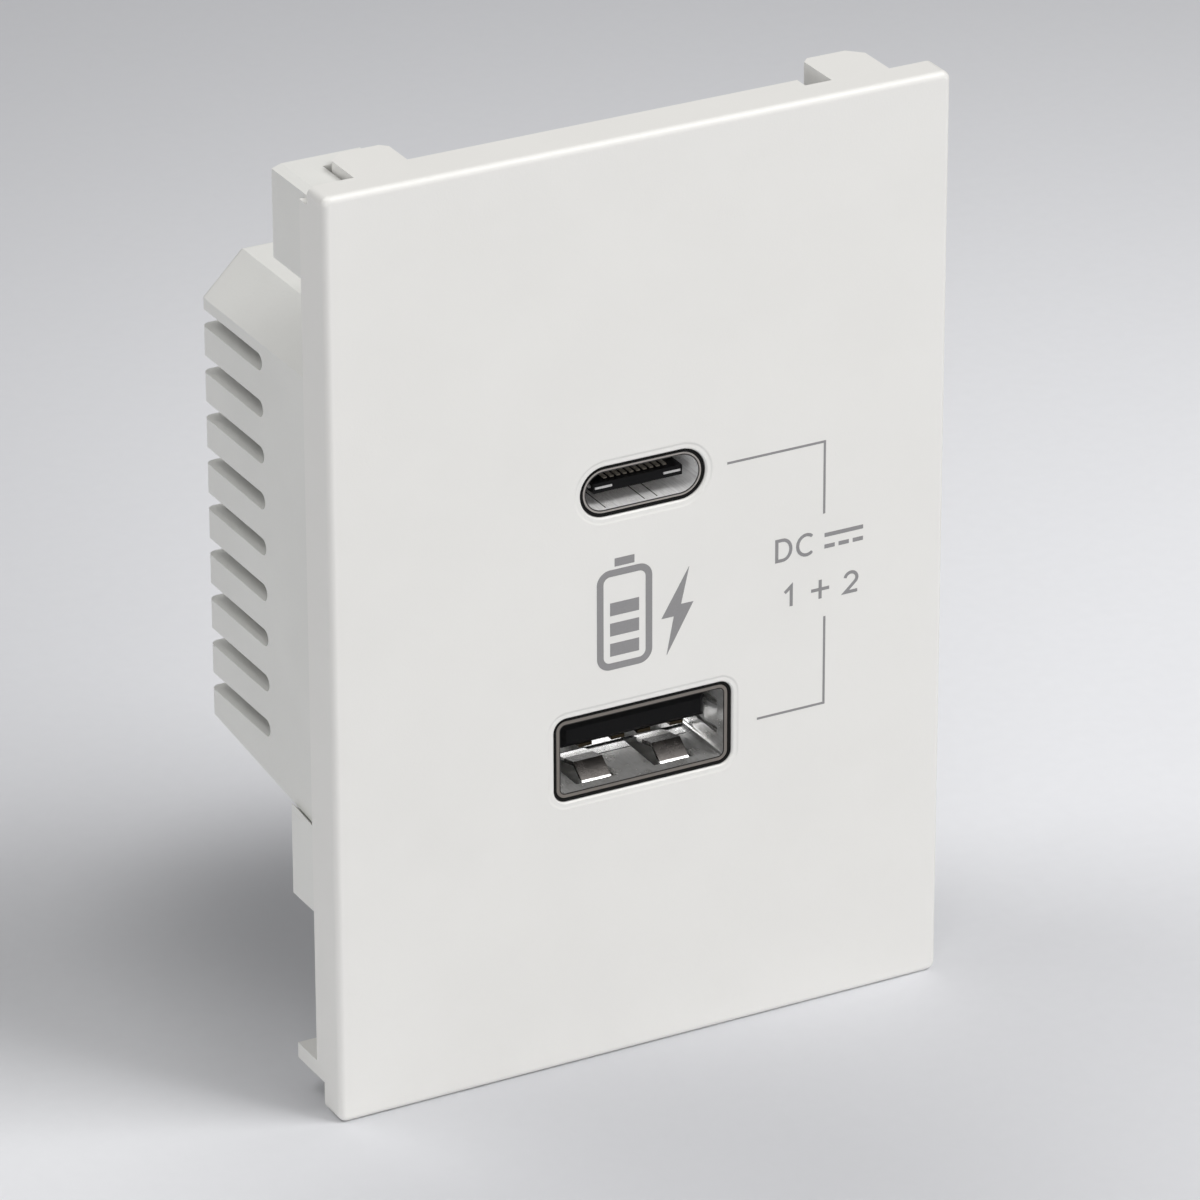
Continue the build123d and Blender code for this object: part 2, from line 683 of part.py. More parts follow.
# Port board: carries both receptacles, with slots for their legs and holes for the link pins
link_xs = [(column - (link_count - 1) / 2) * link_pitch for column in range(link_count)]
port_board_ys = (port_board_y, port_board_back)
with BuildPart() as port_board:
    block((-port_board_hw, port_board_hw), port_board_ys, (port_floor, board_top))
    for side in SIDES:
        for z, half in ((usb_a_z, usb_a_w / 2), (usb_c_z, usb_c_w / 2)):
            leg_x = sorted((side * (half + fit_gap), side * (half - sheet_t - fit_gap)))
            leg_z = (z - leg_w / 2 - fit_gap, z + leg_w / 2 + fit_gap)
            block(leg_x, port_board_ys, leg_z, Mode.SUBTRACT)
    for x in a_contact_xs:
        hole_x = (x - a_contact_w / 2 - fit_gap, x + a_contact_w / 2 + fit_gap)
        hole_z = (a_contact_z[0] - fit_gap, a_contact_z[1] + fit_gap)
        block(hole_x, port_board_ys, hole_z, Mode.SUBTRACT)
    for x in link_xs:
        rod(x, link_z, link_hole_r, port_board_ys, Mode.SUBTRACT)

# Main board: mains side of the charger, cut at its lower corners to follow the housing
main_board_ys = (main_board_y, main_board_back)
with BuildPart() as main_board:
    with BuildSketch(wall_plane(main_board_back)) as board:
        with Locations((0, board_mid_z)):
            Rectangle(2 * main_board_hw, board_top - board_floor)
        chamfer(board.vertices().group_by(Axis.Y)[0], housing_chamfer)
    extrude(amount=board_t)
    for side in SIDES:
        tail_x = (side * term_x - tail_w / 2 - fit_gap, side * term_x + tail_w / 2 + fit_gap)
        block(tail_x, main_board_ys, (busbar_z - fit_gap, busbar_z + busbar_t + fit_gap), Mode.SUBTRACT)
    for x in link_xs:
        rod(x, link_z, link_hole_r, main_board_ys, Mode.SUBTRACT)

# Link header and its pins: they join the two boards
with BuildPart() as link_header:
    header_hw = link_count * link_pitch / 2
    pin_room = link_pin / 2 + fit_gap
    header_z = (link_z - link_body / 2, link_z + link_body / 2)
    block((-header_hw, header_hw), (port_board_back, main_board_y), header_z)
    for x in link_xs:
        hole_x = (x - pin_room, x + pin_room)
        hole_z = (link_z - pin_room, link_z + pin_room)
        block(hole_x, (port_board_back, main_board_y), hole_z, Mode.SUBTRACT)
with BuildPart() as link_pins:
    for x in link_xs:
        pin_ys = (port_board_y - link_tail, main_board_back + link_tail)
        pin_z = (link_z - link_pin / 2, link_z + link_pin / 2)
        block((x - link_pin / 2, x + link_pin / 2), pin_ys, pin_z)

# Transformer: two-window ferrite core round a wound bobbin, set on the main board
core_mid_y = main_board_y - bobbin_t - winding_out - core_t / 2 - winding_gap
window_h = core_h - 2 * core_back
bobbin_hw = core_leg / 2 + core_window - winding_gap
bobbin_reach = core_t / 2 + winding_out + winding_gap
with BuildPart() as transformer_core:
    with BuildSketch(wall_plane(core_mid_y + core_t / 2)):
        with Locations((transformer_x, transformer_z)):
            Rectangle(core_w, core_h)
            with Locations((-(core_leg + core_window) / 2, 0), ((core_leg + core_window) / 2, 0)):
                Rectangle(core_window, window_h, mode=Mode.SUBTRACT)
    extrude(amount=core_t)
with BuildPart() as transformer_bobbin:
    flange_x = (transformer_x - bobbin_hw, transformer_x + bobbin_hw)
    flange_ys = (core_mid_y - bobbin_reach, main_board_y - fit_gap)
    for side in SIDES:
        flange_out = transformer_z + side * (window_h / 2 - fit_gap)
        flange_in = transformer_z + side * (window_h / 2 - bobbin_t + fit_gap)
        block(flange_x, flange_ys, sorted((flange_out, flange_in)))
    tube_hw = core_leg / 2 + bobbin_t
    tube_z = (transformer_z - window_h / 2 + fit_gap, transformer_z + window_h / 2 - fit_gap)
    tube_ys = (core_mid_y - core_t / 2 - bobbin_t, core_mid_y + core_t / 2 + bobbin_t)
    block((transformer_x - tube_hw, transformer_x + tube_hw), tube_ys, tube_z)
    bore_hw = core_leg / 2 + fit_gap
    bore_ys = (core_mid_y - core_t / 2 - fit_gap, core_mid_y + core_t / 2 + fit_gap)
    block((transformer_x - bore_hw, transformer_x + bore_hw), bore_ys, tube_z, Mode.SUBTRACT)
with BuildPart() as transformer_winding:
    wind_z = window_h / 2 - bobbin_t - 2 * fit_gap
    with BuildSketch(level_plane(transformer_z - wind_z)):
        with Locations((transformer_x, core_mid_y)):
            RectangleRounded(2 * bobbin_hw - winding_gap, 2 * bobbin_reach - winding_gap, winding_out / 2)
            hole_w = core_leg + 2 * bobbin_t + 2 * fit_gap
            Rectangle(hole_w, core_t + 2 * bobbin_t + 2 * fit_gap, mode=Mode.SUBTRACT)
    extrude(amount=2 * wind_z)

# Input capacitor: a can that lies along the main board, with its rolled groove and rounded shoulder
can_y = main_board_y - can_r - fit_gap
can_foot = can_z - can_len / 2
groove_z = can_foot + can_groove_lift + can_groove
with BuildPart() as input_capacitor:
    with BuildSketch(side_plane(can_x)):
        Polygon(
            (can_y, can_foot),
            (can_y + can_r, can_foot),
            (can_y + can_r, groove_z - can_groove),
            (can_y + can_r - can_groove, groove_z),
            (can_y + can_r, groove_z + can_groove),
            (can_y + can_r, can_foot + can_len),
            (can_y, can_foot + can_len),
        )
    revolve(axis=Axis((can_x, can_y, 0), (0, 0, 1)))
    fillet(input_capacitor.faces().sort_by(Axis.Z)[-1].edges(), can_edge_r)

# Output capacitors: two small cans that stand on the main board
with BuildPart() as output_capacitors:
    for x in small_can_xs:
        rod(x, small_can_z, small_can_r, (main_board_y - small_can_h, main_board_y - fit_gap))
    fillet(output_capacitors.edges().group_by(Axis.Y)[0], can_edge_r / 2)

# Controller chip: moulded body with two rows of bent leads
with BuildPart() as controller_chip:
    chip_ys = (main_board_y - fit_gap - chip_t, main_board_y - fit_gap - lead_t / 2)
    chip_x_span = (chip_x - chip_d / 2, chip_x + chip_d / 2)
    block(chip_x_span, chip_ys, (chip_z - chip_w / 2, chip_z + chip_w / 2))
    for side in SIDES:
        for row in range(lead_count):
            z = chip_z + (row - (lead_count - 1) / 2) * lead_pitch
            edge_x = chip_x + side * chip_d / 2
            with BuildSketch(level_plane(z - lead_w / 2)) as lead:
                Polygon(
                    (edge_x - side * lead_t, main_board_y - chip_t / 2),
                    (edge_x + side * lead_out / 2, main_board_y - chip_t / 2),
                    (edge_x + side * lead_out / 2, main_board_y - fit_gap - lead_t),
                    (edge_x + side * lead_out, main_board_y - fit_gap - lead_t),
                    (edge_x + side * lead_out, main_board_y - fit_gap),
                    (edge_x + side * (lead_out / 2 - lead_t), main_board_y - fit_gap),
                    (edge_x + side * (lead_out / 2 - lead_t), main_board_y - chip_t / 2 + lead_t),
                    (edge_x - side * lead_t, main_board_y - chip_t / 2 + lead_t),
                )
            extrude(lead.sketch, amount=lead_w)

# Bridge rectifier: block with a bevelled top
with BuildPart() as bridge_rectifier:
    bridge_ys = (main_board_y - fit_gap - bridge_h, main_board_y - fit_gap)
    bridge_z_span = (bridge_z - bridge_d / 2, bridge_z + bridge_d / 2)
    block((bridge_x - bridge_w / 2, bridge_x + bridge_w / 2), bridge_ys, bridge_z_span)
    chamfer(bridge_rectifier.faces().sort_by(Axis.Y)[0].edges(), bridge_bevel)

# Fuse resistor: a body with two end caps, lying along the main board
with BuildPart() as fuse_resistor:
    fuse_y = main_board_y - fuse_r - fit_gap
    with BuildSketch(level_plane(fuse_z)):
        Polygon(
            (-fuse_len / 2, fuse_y),
            (-fuse_len / 2, fuse_y + fuse_r),
            (-fuse_len / 4, fuse_y + fuse_r),
            (-fuse_len / 4 + fuse_neck, fuse_y + fuse_r - fuse_neck),
            (fuse_len / 4 - fuse_neck, fuse_y + fuse_r - fuse_neck),
            (fuse_len / 4, fuse_y + fuse_r),
            (fuse_len / 2, fuse_y + fuse_r),
            (fuse_len / 2, fuse_y),
        )
    revolve(axis=Axis((0, fuse_y, fuse_z), (1, 0, 0)))

# Input choke: a waisted ferrite drum
with BuildPart() as input_choke:
    choke_y = main_board_y - fit_gap
    with BuildSketch(level_plane(choke_z)):
        Polygon(
            (choke_x, choke_y),
            (choke_x + choke_r, choke_y),
            (choke_x + choke_r, choke_y - choke_flange),
            (choke_x + choke_waist, choke_y - choke_flange),
            (choke_x + choke_waist, choke_y - choke_h + choke_flange),
            (choke_x + choke_r, choke_y - choke_h + choke_flange),
            (choke_x + choke_r, choke_y - choke_h),
            (choke_x, choke_y - choke_h),
        )
    revolve(axis=Axis((choke_x, 0, choke_z), (0, 1, 0)))

# Safety capacitor: a dipped disc, flat on the main board
with BuildPart() as safety_capacitor:
    rod(disc_x, disc_z, disc_r, (main_board_y - fit_gap - disc_t, main_board_y - fit_gap))
    fillet(safety_capacitor.edges().filter_by(GeomType.CIRCLE), disc_edge_r)

# Terminal block: two towers joined by a bridge, each with a cavity for its cage and a seat for its screw
with BuildPart() as terminal_block:
    for side in SIDES:
        x = side * term_x
        tower_hw = cavity_w / 2 + block_wall
        block((x - tower_hw, x + tower_hw), (block_y, block_back_y), (block_bottom, block_top))
    bridge_y0 = block_back_y - seat_t - bridge_t
    block((-term_x, term_x), (bridge_y0, block_back_y), (block_top - 2 * bridge_t, block_top))
    for side in SIDES:
        x = side * term_x
        cavity_x = (x - cavity_w / 2, x + cavity_w / 2)
        block(cavity_x, (cavity_y, cavity_back_y), (cavity_bottom, cavity_top), Mode.SUBTRACT)
        rod(x, term_z, shank_r + shank_play, (cavity_back_y - fit_gap, seat_y + fit_gap), Mode.SUBTRACT)
        rod(x, term_z, head_r + 2 * head_play, (seat_y, block_back_y), Mode.SUBTRACT)
        slot_x = (x - busbar_w / 2 - busbar_play, x + busbar_w / 2 + busbar_play)
        slot_y = (busbar_y - busbar_play, busbar_back_y + busbar_play)
        block(slot_x, slot_y, (block_bottom, cavity_bottom), Mode.SUBTRACT)
        with BuildSketch(level_plane(cavity_top)) as entry:
            with Locations((x, wire_y)):
                Circle(wire_r)
        extrude(entry.sketch, amount=block_wall, mode=Mode.SUBTRACT)

# Terminal busbars: folded strips that pass through the cages and down into the main board
with BuildPart() as terminal_busbars:
    for side in SIDES:
        x = side * term_x
        with BuildSketch(side_plane(x - busbar_w / 2)) as strip:
            Polygon(
                (busbar_y, busbar_z),
                (main_board_y - fit_gap, busbar_z),
                (main_board_y - fit_gap, busbar_z + busbar_t),
                (busbar_back_y, busbar_z + busbar_t),
                (busbar_back_y, cavity_top - busbar_play),
                (busbar_y, cavity_top - busbar_play),
            )
            fillet(strip.vertices().group_by(Axis.Y)[0].sort_by(Axis.X)[0], busbar_t)
        extrude(strip.sketch, amount=busbar_w)
        tail_ys = (main_board_y - over, main_board_back + tail_len)
        block((x - tail_w / 2, x + tail_w / 2), tail_ys, (busbar_z, busbar_z + busbar_t))

# Clamp cages: square brass loops, threaded at the back, that rise along their screws
with BuildPart() as line_cage:
    cage_zs = (term_z - cage_d / 2, term_z + cage_d / 2)
    block((-term_x - cage_w / 2, -term_x + cage_w / 2), (cage_y, cage_back_y), cage_zs)
    loop_x = (-term_x - cage_in_w / 2, -term_x + cage_in_w / 2)
    block(loop_x, (cage_inner_y, cage_inner_back_y), cage_zs, Mode.SUBTRACT)
    rod(-term_x, term_z, shank_r + thread_play, (cage_inner_back_y, cage_back_y), Mode.SUBTRACT)
with BuildPart() as neutral_cage:
    mirror(line_cage.part, about=Plane.YZ)

# Terminal screws: slotted cheese heads held in the block, with their shanks in the cages
with BuildPart() as line_screw:
    rod(-term_x, term_z, head_r, (head_base_y, head_top_y))
    chamfer(line_screw.edges().group_by(Axis.Y)[-1], head_chamfer)
    rod(-term_x, term_z, shank_r, (tip_y, head_base_y))
    slot_x = (-term_x - head_r, -term_x + head_r)
    slot_z = (term_z - head_slot_w / 2, term_z + head_slot_w / 2)
    block(slot_x, (head_top_y - head_slot_d, head_top_y + over), slot_z, Mode.SUBTRACT)
with BuildPart() as neutral_screw:
    mirror(line_screw.part, about=Plane.YZ)

pieces = {
    "front_cover": front_cover,
    "clip_frame": clip_frame,
    "rear_housing": rear_housing,
    "usb_a_gasket": usb_a_gasket,
    "usb_c_gasket": usb_c_gasket,
    "usb_a_shell": usb_a_shell,
    "usb_a_insulator": usb_a_insulator,
    "usb_a_contacts": usb_a_contacts,
    "usb_c_shell": usb_c_shell,
    "usb_c_insulator": usb_c_insulator,
    "usb_c_mid_plate": usb_c_mid_plate,
    "usb_c_contacts": usb_c_contacts,
    "port_board": port_board,
    "main_board": main_board,
    "link_header": link_header,
    "link_pins": link_pins,
    "transformer_core": transformer_core,
    "transformer_bobbin": transformer_bobbin,
    "transformer_winding": transformer_winding,
    "input_capacitor": input_capacitor,
    "output_capacitors": output_capacitors,
    "controller_chip": controller_chip,
    "bridge_rectifier": bridge_rectifier,
    "fuse_resistor": fuse_resistor,
    "input_choke": input_choke,
    "safety_capacitor": safety_capacitor,
    "terminal_block": terminal_block,
    "terminal_busbars": terminal_busbars,
    "line_cage": line_cage,
    "neutral_cage": neutral_cage,
    "line_screw": line_screw,
    "neutral_screw": neutral_screw,
}

os.makedirs("parts", exist_ok=True)
for name, piece in pieces.items():
    piece.part.label = name
    export_step(piece.part, f"parts/{name}.step")
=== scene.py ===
import math
from functools import reduce

import bpy
import numpy as np
from mathutils import Matrix, Vector


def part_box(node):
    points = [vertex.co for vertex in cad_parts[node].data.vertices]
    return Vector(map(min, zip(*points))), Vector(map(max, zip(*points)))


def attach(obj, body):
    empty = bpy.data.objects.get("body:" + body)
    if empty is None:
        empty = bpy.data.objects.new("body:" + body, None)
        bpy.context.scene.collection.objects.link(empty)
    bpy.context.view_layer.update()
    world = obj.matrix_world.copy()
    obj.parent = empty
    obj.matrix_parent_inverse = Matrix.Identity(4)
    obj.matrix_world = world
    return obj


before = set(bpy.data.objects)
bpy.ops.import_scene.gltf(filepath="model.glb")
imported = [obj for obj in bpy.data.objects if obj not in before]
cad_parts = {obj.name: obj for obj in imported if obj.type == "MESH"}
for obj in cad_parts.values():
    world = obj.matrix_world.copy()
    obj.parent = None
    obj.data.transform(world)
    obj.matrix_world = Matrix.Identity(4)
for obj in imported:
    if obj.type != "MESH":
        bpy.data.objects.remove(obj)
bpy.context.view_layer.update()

# USB wall socket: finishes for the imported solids, three moulded strips, the printed marks, floor,
# light and camera. In the frame of the solids, X is right seen from the front, +Y goes into the
# wall and +Z is up. Lengths are in millimetres, except where a comment says metres.

MM = 0.001
BODY = "socket"

# Planes of the solids, in metres: face, back, foot, and the rim of the two mouths
FACE_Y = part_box("front_cover")[0][1]
BACK_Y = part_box("rear_housing")[1][1]
FLOOR_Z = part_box("front_cover")[0][2]
SHELL_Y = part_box("usb_a_shell")[0][1]

# Sockets of a Mix node that blends colours, and how rough every cloud of noise is
MIX_LOW, MIX_HIGH, MIX_RESULT = 6, 7, 2
CLOUD_ROUGHNESS = 0.55

# The two mouths: corners of their outlines, how far in from the outline the rim turns to a painted
# dark line of shade and how soft that edge is, and the depths behind the rim over which its tone
# fades out
LARGER_CORNER = 0.7
SMALLER_CORNER = 1.58
LARGER_LIP = 0.23
SMALLER_LIP = 0.12
LIP_SOFT = 0.02
RIM_FADE = (0.02, 0.05)

# Shallow step in the cover round the mouths: how far out it starts and ends, and its fall
STEP_EDGE = (0.6, 0.8)
STEP_FALL = 0.05

# Spring fingers in the larger shell's floor, whose sloping faces get painted shade: their middles
# either
# side, then soft edges: half the width, the lowest and highest heights over the shell's foot, and
# the depth where they end
FINGER_X = 3.0
FINGER_HALF = (1.1, 1.15)
FINGER_FOOT = (0.34, 0.42)
FINGER_TOP = (1.5, 1.6)
FINGER_END = (0.2, 0.4)

# Line behind them past which the sheet is painted near white, painted light: its depth, how soft it
# is, and the dark lines along it with half their width and the height that they stay under
GLOW_LINE_Y = 0.95
GLOW_LINE_SOFT = 0.02
DARK_LINE_XS = ((-2.9, 1.9), (3.5, 5.7))
DARK_LINE_HALF = 0.07
DARK_LINE_TOP = 0.35

# Seams in the smaller shell's floor: their places, soft edge, and start behind the rim
SEAM_XS = (-2.6, 0.35, 1.3)
SEAM_EDGE = (0.03, 0.06)
SEAM_START = 0.3

# Round marks of ejector pins on the housing's back: places (X, Z), soft rim, depth, and how thick
# a skin of the back they are kept to
PIN_PLACES = ((-10.5, -9.5), (10.5, -9.5), (0.0, 3.0), (0.0, -9.5))
PIN_RIM = (1.62, 1.78)
PIN_DEPTH = 0.08
BACK_SKIN = 0.2

# Crest of the left ear, set on its bevel: reach and fall from the ear's corner, how low its side
# goes, how deep its underside is keyed in, and the depths that it runs between
EAR_X, EAR_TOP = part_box("clip_frame")[0][0] / MM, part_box("clip_frame")[1][2] / MM
CREST_IN = 0.66
CREST_FALL = 0.22
CREST_LOW = 0.645
CREST_KEY = 0.05
CREST_YS = (-1.05, 4.84)

# Shoulders on the side arms' sloping tops: height of the arm's outer edge, width, depths with the
# rise at each that follows the housing's raked underside, how deep the foot is keyed in, and how
# far the side is drawn in
ARM_TOP = -13.401
SHOULDER_W = 3.4
SHOULDER_YS = (0.05, 3.94)
SHOULDER_RISES = (0.185, 0.597)
SHOULDER_KEY = 0.05
SHOULDER_INSET = 0.01
STRIP_STEPS = 12

# Ink film, in metres: how far it stands on the plastic, and how deep its edge is keyed into it
INK_PROUD = 0.012 * MM
INK_KEY = 0.004 * MM
TO_FRONT, TO_BACK = -1, 1

# Printed lines: widths of guide lines, symbols and letters, height of the letters, steps in an arc,
# the least slant of a mitre and the least share of the width at a rounded tip
LINE_W = 0.17
MARK_W = 0.5
TYPE_W = 0.24
TYPE_H = 1.5
ROUND_STEPS = 14
LEAST_SLANT = 0.35
LEAST_TIP = 1e-4

# Floor: half its width in metres and points across, and the middle of a painted pool of light where
# its paper is palest, with the reach over which it deepens
FLOOR_HALF = 3.0
FLOOR_POINTS = 13
LIT_POOL_X, LIT_POOL_Y = 70.0, 40.0
LIT_POOL_REACH = 190.0

# Painted light and shade on the floor, a painted paler patch at the left and painted shadow under
# the housing and before the plate's foot: middle (X, Y), where each starts to fade and where it
# ends, its share and its tone
PAINTED_SHADOW_TONE = (120, 121, 125)
PAINTED_LIGHT_TONE = (250, 251, 254)
FLOOR_PAINTED_LIGHT_AND_SHADE = (
    (-42.0, 8.0, 8.0, 45.0, 0.5, PAINTED_LIGHT_TONE),
    (-8.0, 22.0, 5.0, 25.0, 0.5, PAINTED_SHADOW_TONE),
    (-9.0, -24.0, 8.0, 46.0, 0.28, PAINTED_SHADOW_TONE),
)

# Square soft boxes, all turned to one aim: place and size in metres, and power
WARM_WHITE = (1.0, 0.995, 0.985)
LIGHT_AIM = (0.0, 0.0, 0.0)
LIGHTS = {
    "key_light": ((0.45, -0.40, 0.80), 0.45, 6.4),
    "front_light": ((0.35, -0.80, 0.30), 0.5, 1.5),
    "fill_light": ((-0.55, -0.75, 0.30), 0.3, 1.35),
    "left_light": ((-0.65, -0.42, 0.10), 0.24, 0.9),
    "top_light": ((0.0, 0.0, 0.80), 0.6, 0.7),
    "rear_light": ((-0.40, 0.30, 0.75), 0.5, 2.45),
}
SURROUND = (0.98, 0.99, 1.0, 1.0)
SURROUND_POWER = 0.04

# Camera: place, target, roll in degrees, lens, sensor, and the clip distances in metres
CAMERA_PLACE = (-224.403, -417.125, 224.973)
CAMERA_TARGET = (0.967, 4.5, -3.392)
CAMERA_ROLL = -0.164
CAMERA_LENS = 233.954
SENSOR_W = 36.0
CLIP_START, CLIP_END = 0.01, 20.0


def paint(red, green, blue):
    """Linear colour of a tone given as three numbers from 0 to 255, by the sRGB curve."""
    tone = np.array([red, green, blue]) / 255.0
    linear = np.where(tone <= 0.04045, tone / 12.92, ((tone + 0.055) / 1.055) ** 2.4)
    return tuple(float(part) for part in linear) + (1.0,)


class Level:
    """A number that varies over a surface: one socket of a finish. Sums on it add Math nodes."""

    def __init__(self, finish, socket):
        self.finish = finish
        self.socket = socket

    def sum(self, operation, first, second=0.0):
        return self.finish.node("ShaderNodeMath", {"operation": operation}, {0: first, 1: second})

    def __add__(self, other):
        return self.sum("ADD", self, other)

    def __radd__(self, other):
        return self.sum("ADD", other, self)

    def __sub__(self, other):
        return self.sum("SUBTRACT", self, other)

    def __rsub__(self, other):
        return self.sum("SUBTRACT", other, self)

    def __mul__(self, other):
        return self.sum("MULTIPLY", self, other)

    def __rmul__(self, other):
        return self.sum("MULTIPLY", other, self)

    def __truediv__(self, other):
        return self.sum("DIVIDE", self, other)

    def __pow__(self, other):
        return self.sum("POWER", self, other)

    def __gt__(self, other):
        return self.sum("GREATER_THAN", self, other)

    def __lt__(self, other):
        return self.sum("LESS_THAN", self, other)

    def __abs__(self):
        return self.sum("ABSOLUTE", self)

    def most(self, other):
        return self.sum("MAXIMUM", self, other)

    def along(self, pitch):
        """How far it has come through its pitch, from 0 to 1."""
        return self.sum("FRACT", self / pitch)

    def off_middle(self, pitch):
        """How far it is past the middle of its pitch, as a share of the pitch."""
        return self.along(pitch) - 0.5

    def ramp(self, low, high):
        """A soft step: 0 up to low, 1 from high on."""
        return self.finish.node(
            "ShaderNodeMapRange",
            {"interpolation_type": "SMOOTHSTEP", "clamp": True},
            {"Value": self, "From Min": low, "From Max": high, "To Min": 0.0, "To Max": 1.0},
        )


class Finish:
    """One material. Its node method adds any node; the others name what the finishes use most."""

    def __init__(self, name, constants):
        self.material = bpy.data.materials.new(name)
        self.material.use_nodes = True
        self.tree = self.material.node_tree
        self.shader = self.tree.nodes["Principled BSDF"]
        for socket, value in constants.items():
            self.shader.inputs[socket].default_value = value
        self.place = self.node("ShaderNodeTexCoord", {}, {}, "Object")

    def node(self, kind, settings, inputs, output=0):
        """Add a node of a kind: its settings first, then the value or link of each named socket."""
        node = self.tree.nodes.new(kind)
        for setting, value in settings.items():
            setattr(node, setting, value)
        for socket, value in inputs.items():
            if isinstance(value, Level):
                self.tree.links.new(value.socket, node.inputs[socket])
            else:
                node.inputs[socket].default_value = value
        return Level(self, node.outputs[output])

    def feed(self, socket, level):
        self.tree.links.new(level.socket, self.shader.inputs[socket])

    def normals(self):
        """The normals that the shader is fed so far."""
        return Level(self, self.shader.inputs["Normal"].links[0].from_socket)

    def axes(self):
        """The three object coordinates, in millimetres."""
        apart = self.node("ShaderNodeSeparateXYZ", {}, {0: self.place})
        sockets = apart.socket.node.outputs
        return [Level(self, sockets[axis]) * (1 / MM) for axis in range(3)]

    def stretched(self, x, y, z):
        """Object coordinates in millimetres, each times its own factor."""
        scale = (x / MM, y / MM, z / MM)
        return self.node(
            "ShaderNodeVectorMath", {"operation": "MULTIPLY"}, {0: self.place, 1: scale}
        )

    def cloud(self, size, octaves=3.0, stretch=(1.0, 1.0, 1.0)):
        """Noise from 0 to 1 with spots of about a size in millimetres, over the stretch."""
        sockets = {
            "Vector": self.stretched(*stretch),
            "Scale": 1.0 / size,
            "Detail": octaves,
            "Roughness": CLOUD_ROUGHNESS,
        }
        return self.node("ShaderNodeTexNoise", {}, sockets)

    def pits(self, size):
        """Distance from the nearest of many scattered points, in spots of a size in millimetres."""
        sockets = {"Vector": self.stretched(1.0, 1.0, 1.0), "Scale": 1.0 / size}
        return self.node("ShaderNodeTexVoronoi", {}, sockets)

    def tint(self, share, low, high):
        """Blend of two colours by a share from 0 to 1."""
        settings = {"data_type": "RGBA", "clamp_factor": True}
        sockets = {0: share, MIX_LOW: low, MIX_HIGH: high}
        return self.node("ShaderNodeMix", settings, sockets, MIX_RESULT)

    def relief(self, height, depth, under=None):
        """Normals from a height of 0 to 1, that stands for a depth in millimetres."""
        sockets = {"Strength": 1.0, "Distance": depth * MM, "Height": height}
        if under:
            sockets["Normal"] = under
        return self.node("ShaderNodeBump", {}, sockets, "Normal")


def distance(first, second):
    """Distance from where two levels are both 0."""
    return (first ** 2.0 + second ** 2.0) ** 0.5


def most_of(levels):
    """The greatest of several levels at each place."""
    return reduce(Level.most, levels)


def in_millimetres(corners):
    """Lowest corner, highest corner and middle of a box, turned from metres to millimetres."""
    low, high = ([value / MM for value in corner] for corner in corners)
    return low, high, [(start + end) / 2 for start, end in zip(low, high)]


def beyond(x, z, node, corner):
    """Distance outside a solid's rounded outline, seen from the front; less than 0 inside it."""
    low, high, middle = in_millimetres(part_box(node))
    past_x = (abs(x - middle[0]) - ((high[0] - low[0]) / 2 - corner)).most(0.0)
    past_z = (abs(z - middle[2]) - ((high[2] - low[2]) / 2 - corner)).most(0.0)
    return distance(past_x, past_z) - corner


def clouded(name, constants, light, dark, gloss, spread, depth, **cloud):
    """A finish of one cloud, which blends two tones, adds its spread to the gloss and is the
    height of the relief."""
    finish = Finish(name, constants)
    level = finish.cloud(**cloud)
    finish.feed("Base Color", finish.tint(level, light, dark))
    finish.feed("Roughness", gloss + spread * level)
    finish.feed("Normal", finish.relief(level, depth))
    return finish


def moulded_plastic(name, light, dark, grain, depth, gloss):
    """Spark-eroded moulding: fine grain in bump and gloss, faint flow clouds in tone."""
    finish = Finish(name, {"IOR": 1.49, "Specular IOR Level": 0.45})
    spark = finish.cloud(size=grain)
    flow = finish.cloud(size=9.0, octaves=2.0)
    pores = finish.pits(size=grain * 2.2).ramp(0.05, 0.32)
    finish.feed("Base Color", finish.tint(flow.ramp(0.3, 0.75) * 0.7 + spark * 0.3, light, dark))
    finish.feed("Roughness", gloss + 0.10 * (spark - 0.5) + 0.06 * (flow - 0.5))
    finish.feed("Normal", finish.relief(spark * 0.7 + pores * 0.3, depth))
    return finish


def cover_white():
    """Satin face plate, a little warm, with a shallow step down round its two windows."""
    light, dark = paint(239, 238, 235), paint(236, 235, 232)
    finish = moulded_plastic("cover_white", light, dark, grain=0.16, depth=0.006, gloss=0.42)
    x, _, z = finish.axes()
    larger = beyond(x, z, "usb_a_shell", LARGER_CORNER).ramp(*STEP_EDGE)
    smaller = beyond(x, z, "usb_c_shell", SMALLER_CORNER).ramp(*STEP_EDGE)
    finish.feed("Normal", finish.relief(larger * smaller, STEP_FALL, finish.normals()))
    return finish


def frame_white():
    """Clip frame: the same white, duller."""
    light, dark = paint(236, 236, 233), paint(231, 231, 228)
    return moulded_plastic("frame_white", light, dark, grain=0.2, depth=0.01, gloss=0.5)


def housing_white():
    """Rear housing: duller white, with the round marks of ejector pins on its back."""
    light, dark = paint(235, 235, 232), paint(229, 229, 226)
    finish = moulded_plastic("housing_white", light, dark, grain=0.22, depth=0.012, gloss=0.52)
    x, y, z = finish.axes()
    back = y > (BACK_Y / MM - BACK_SKIN)
    reaches = (distance(x - pin_x, z - pin_z) for pin_x, pin_z in PIN_PLACES)
    pins = most_of(1.0 - reach.ramp(*PIN_RIM) for reach in reaches)
    finish.feed("Normal", finish.relief(1.0 - pins * back, PIN_DEPTH, finish.normals()))
    return finish


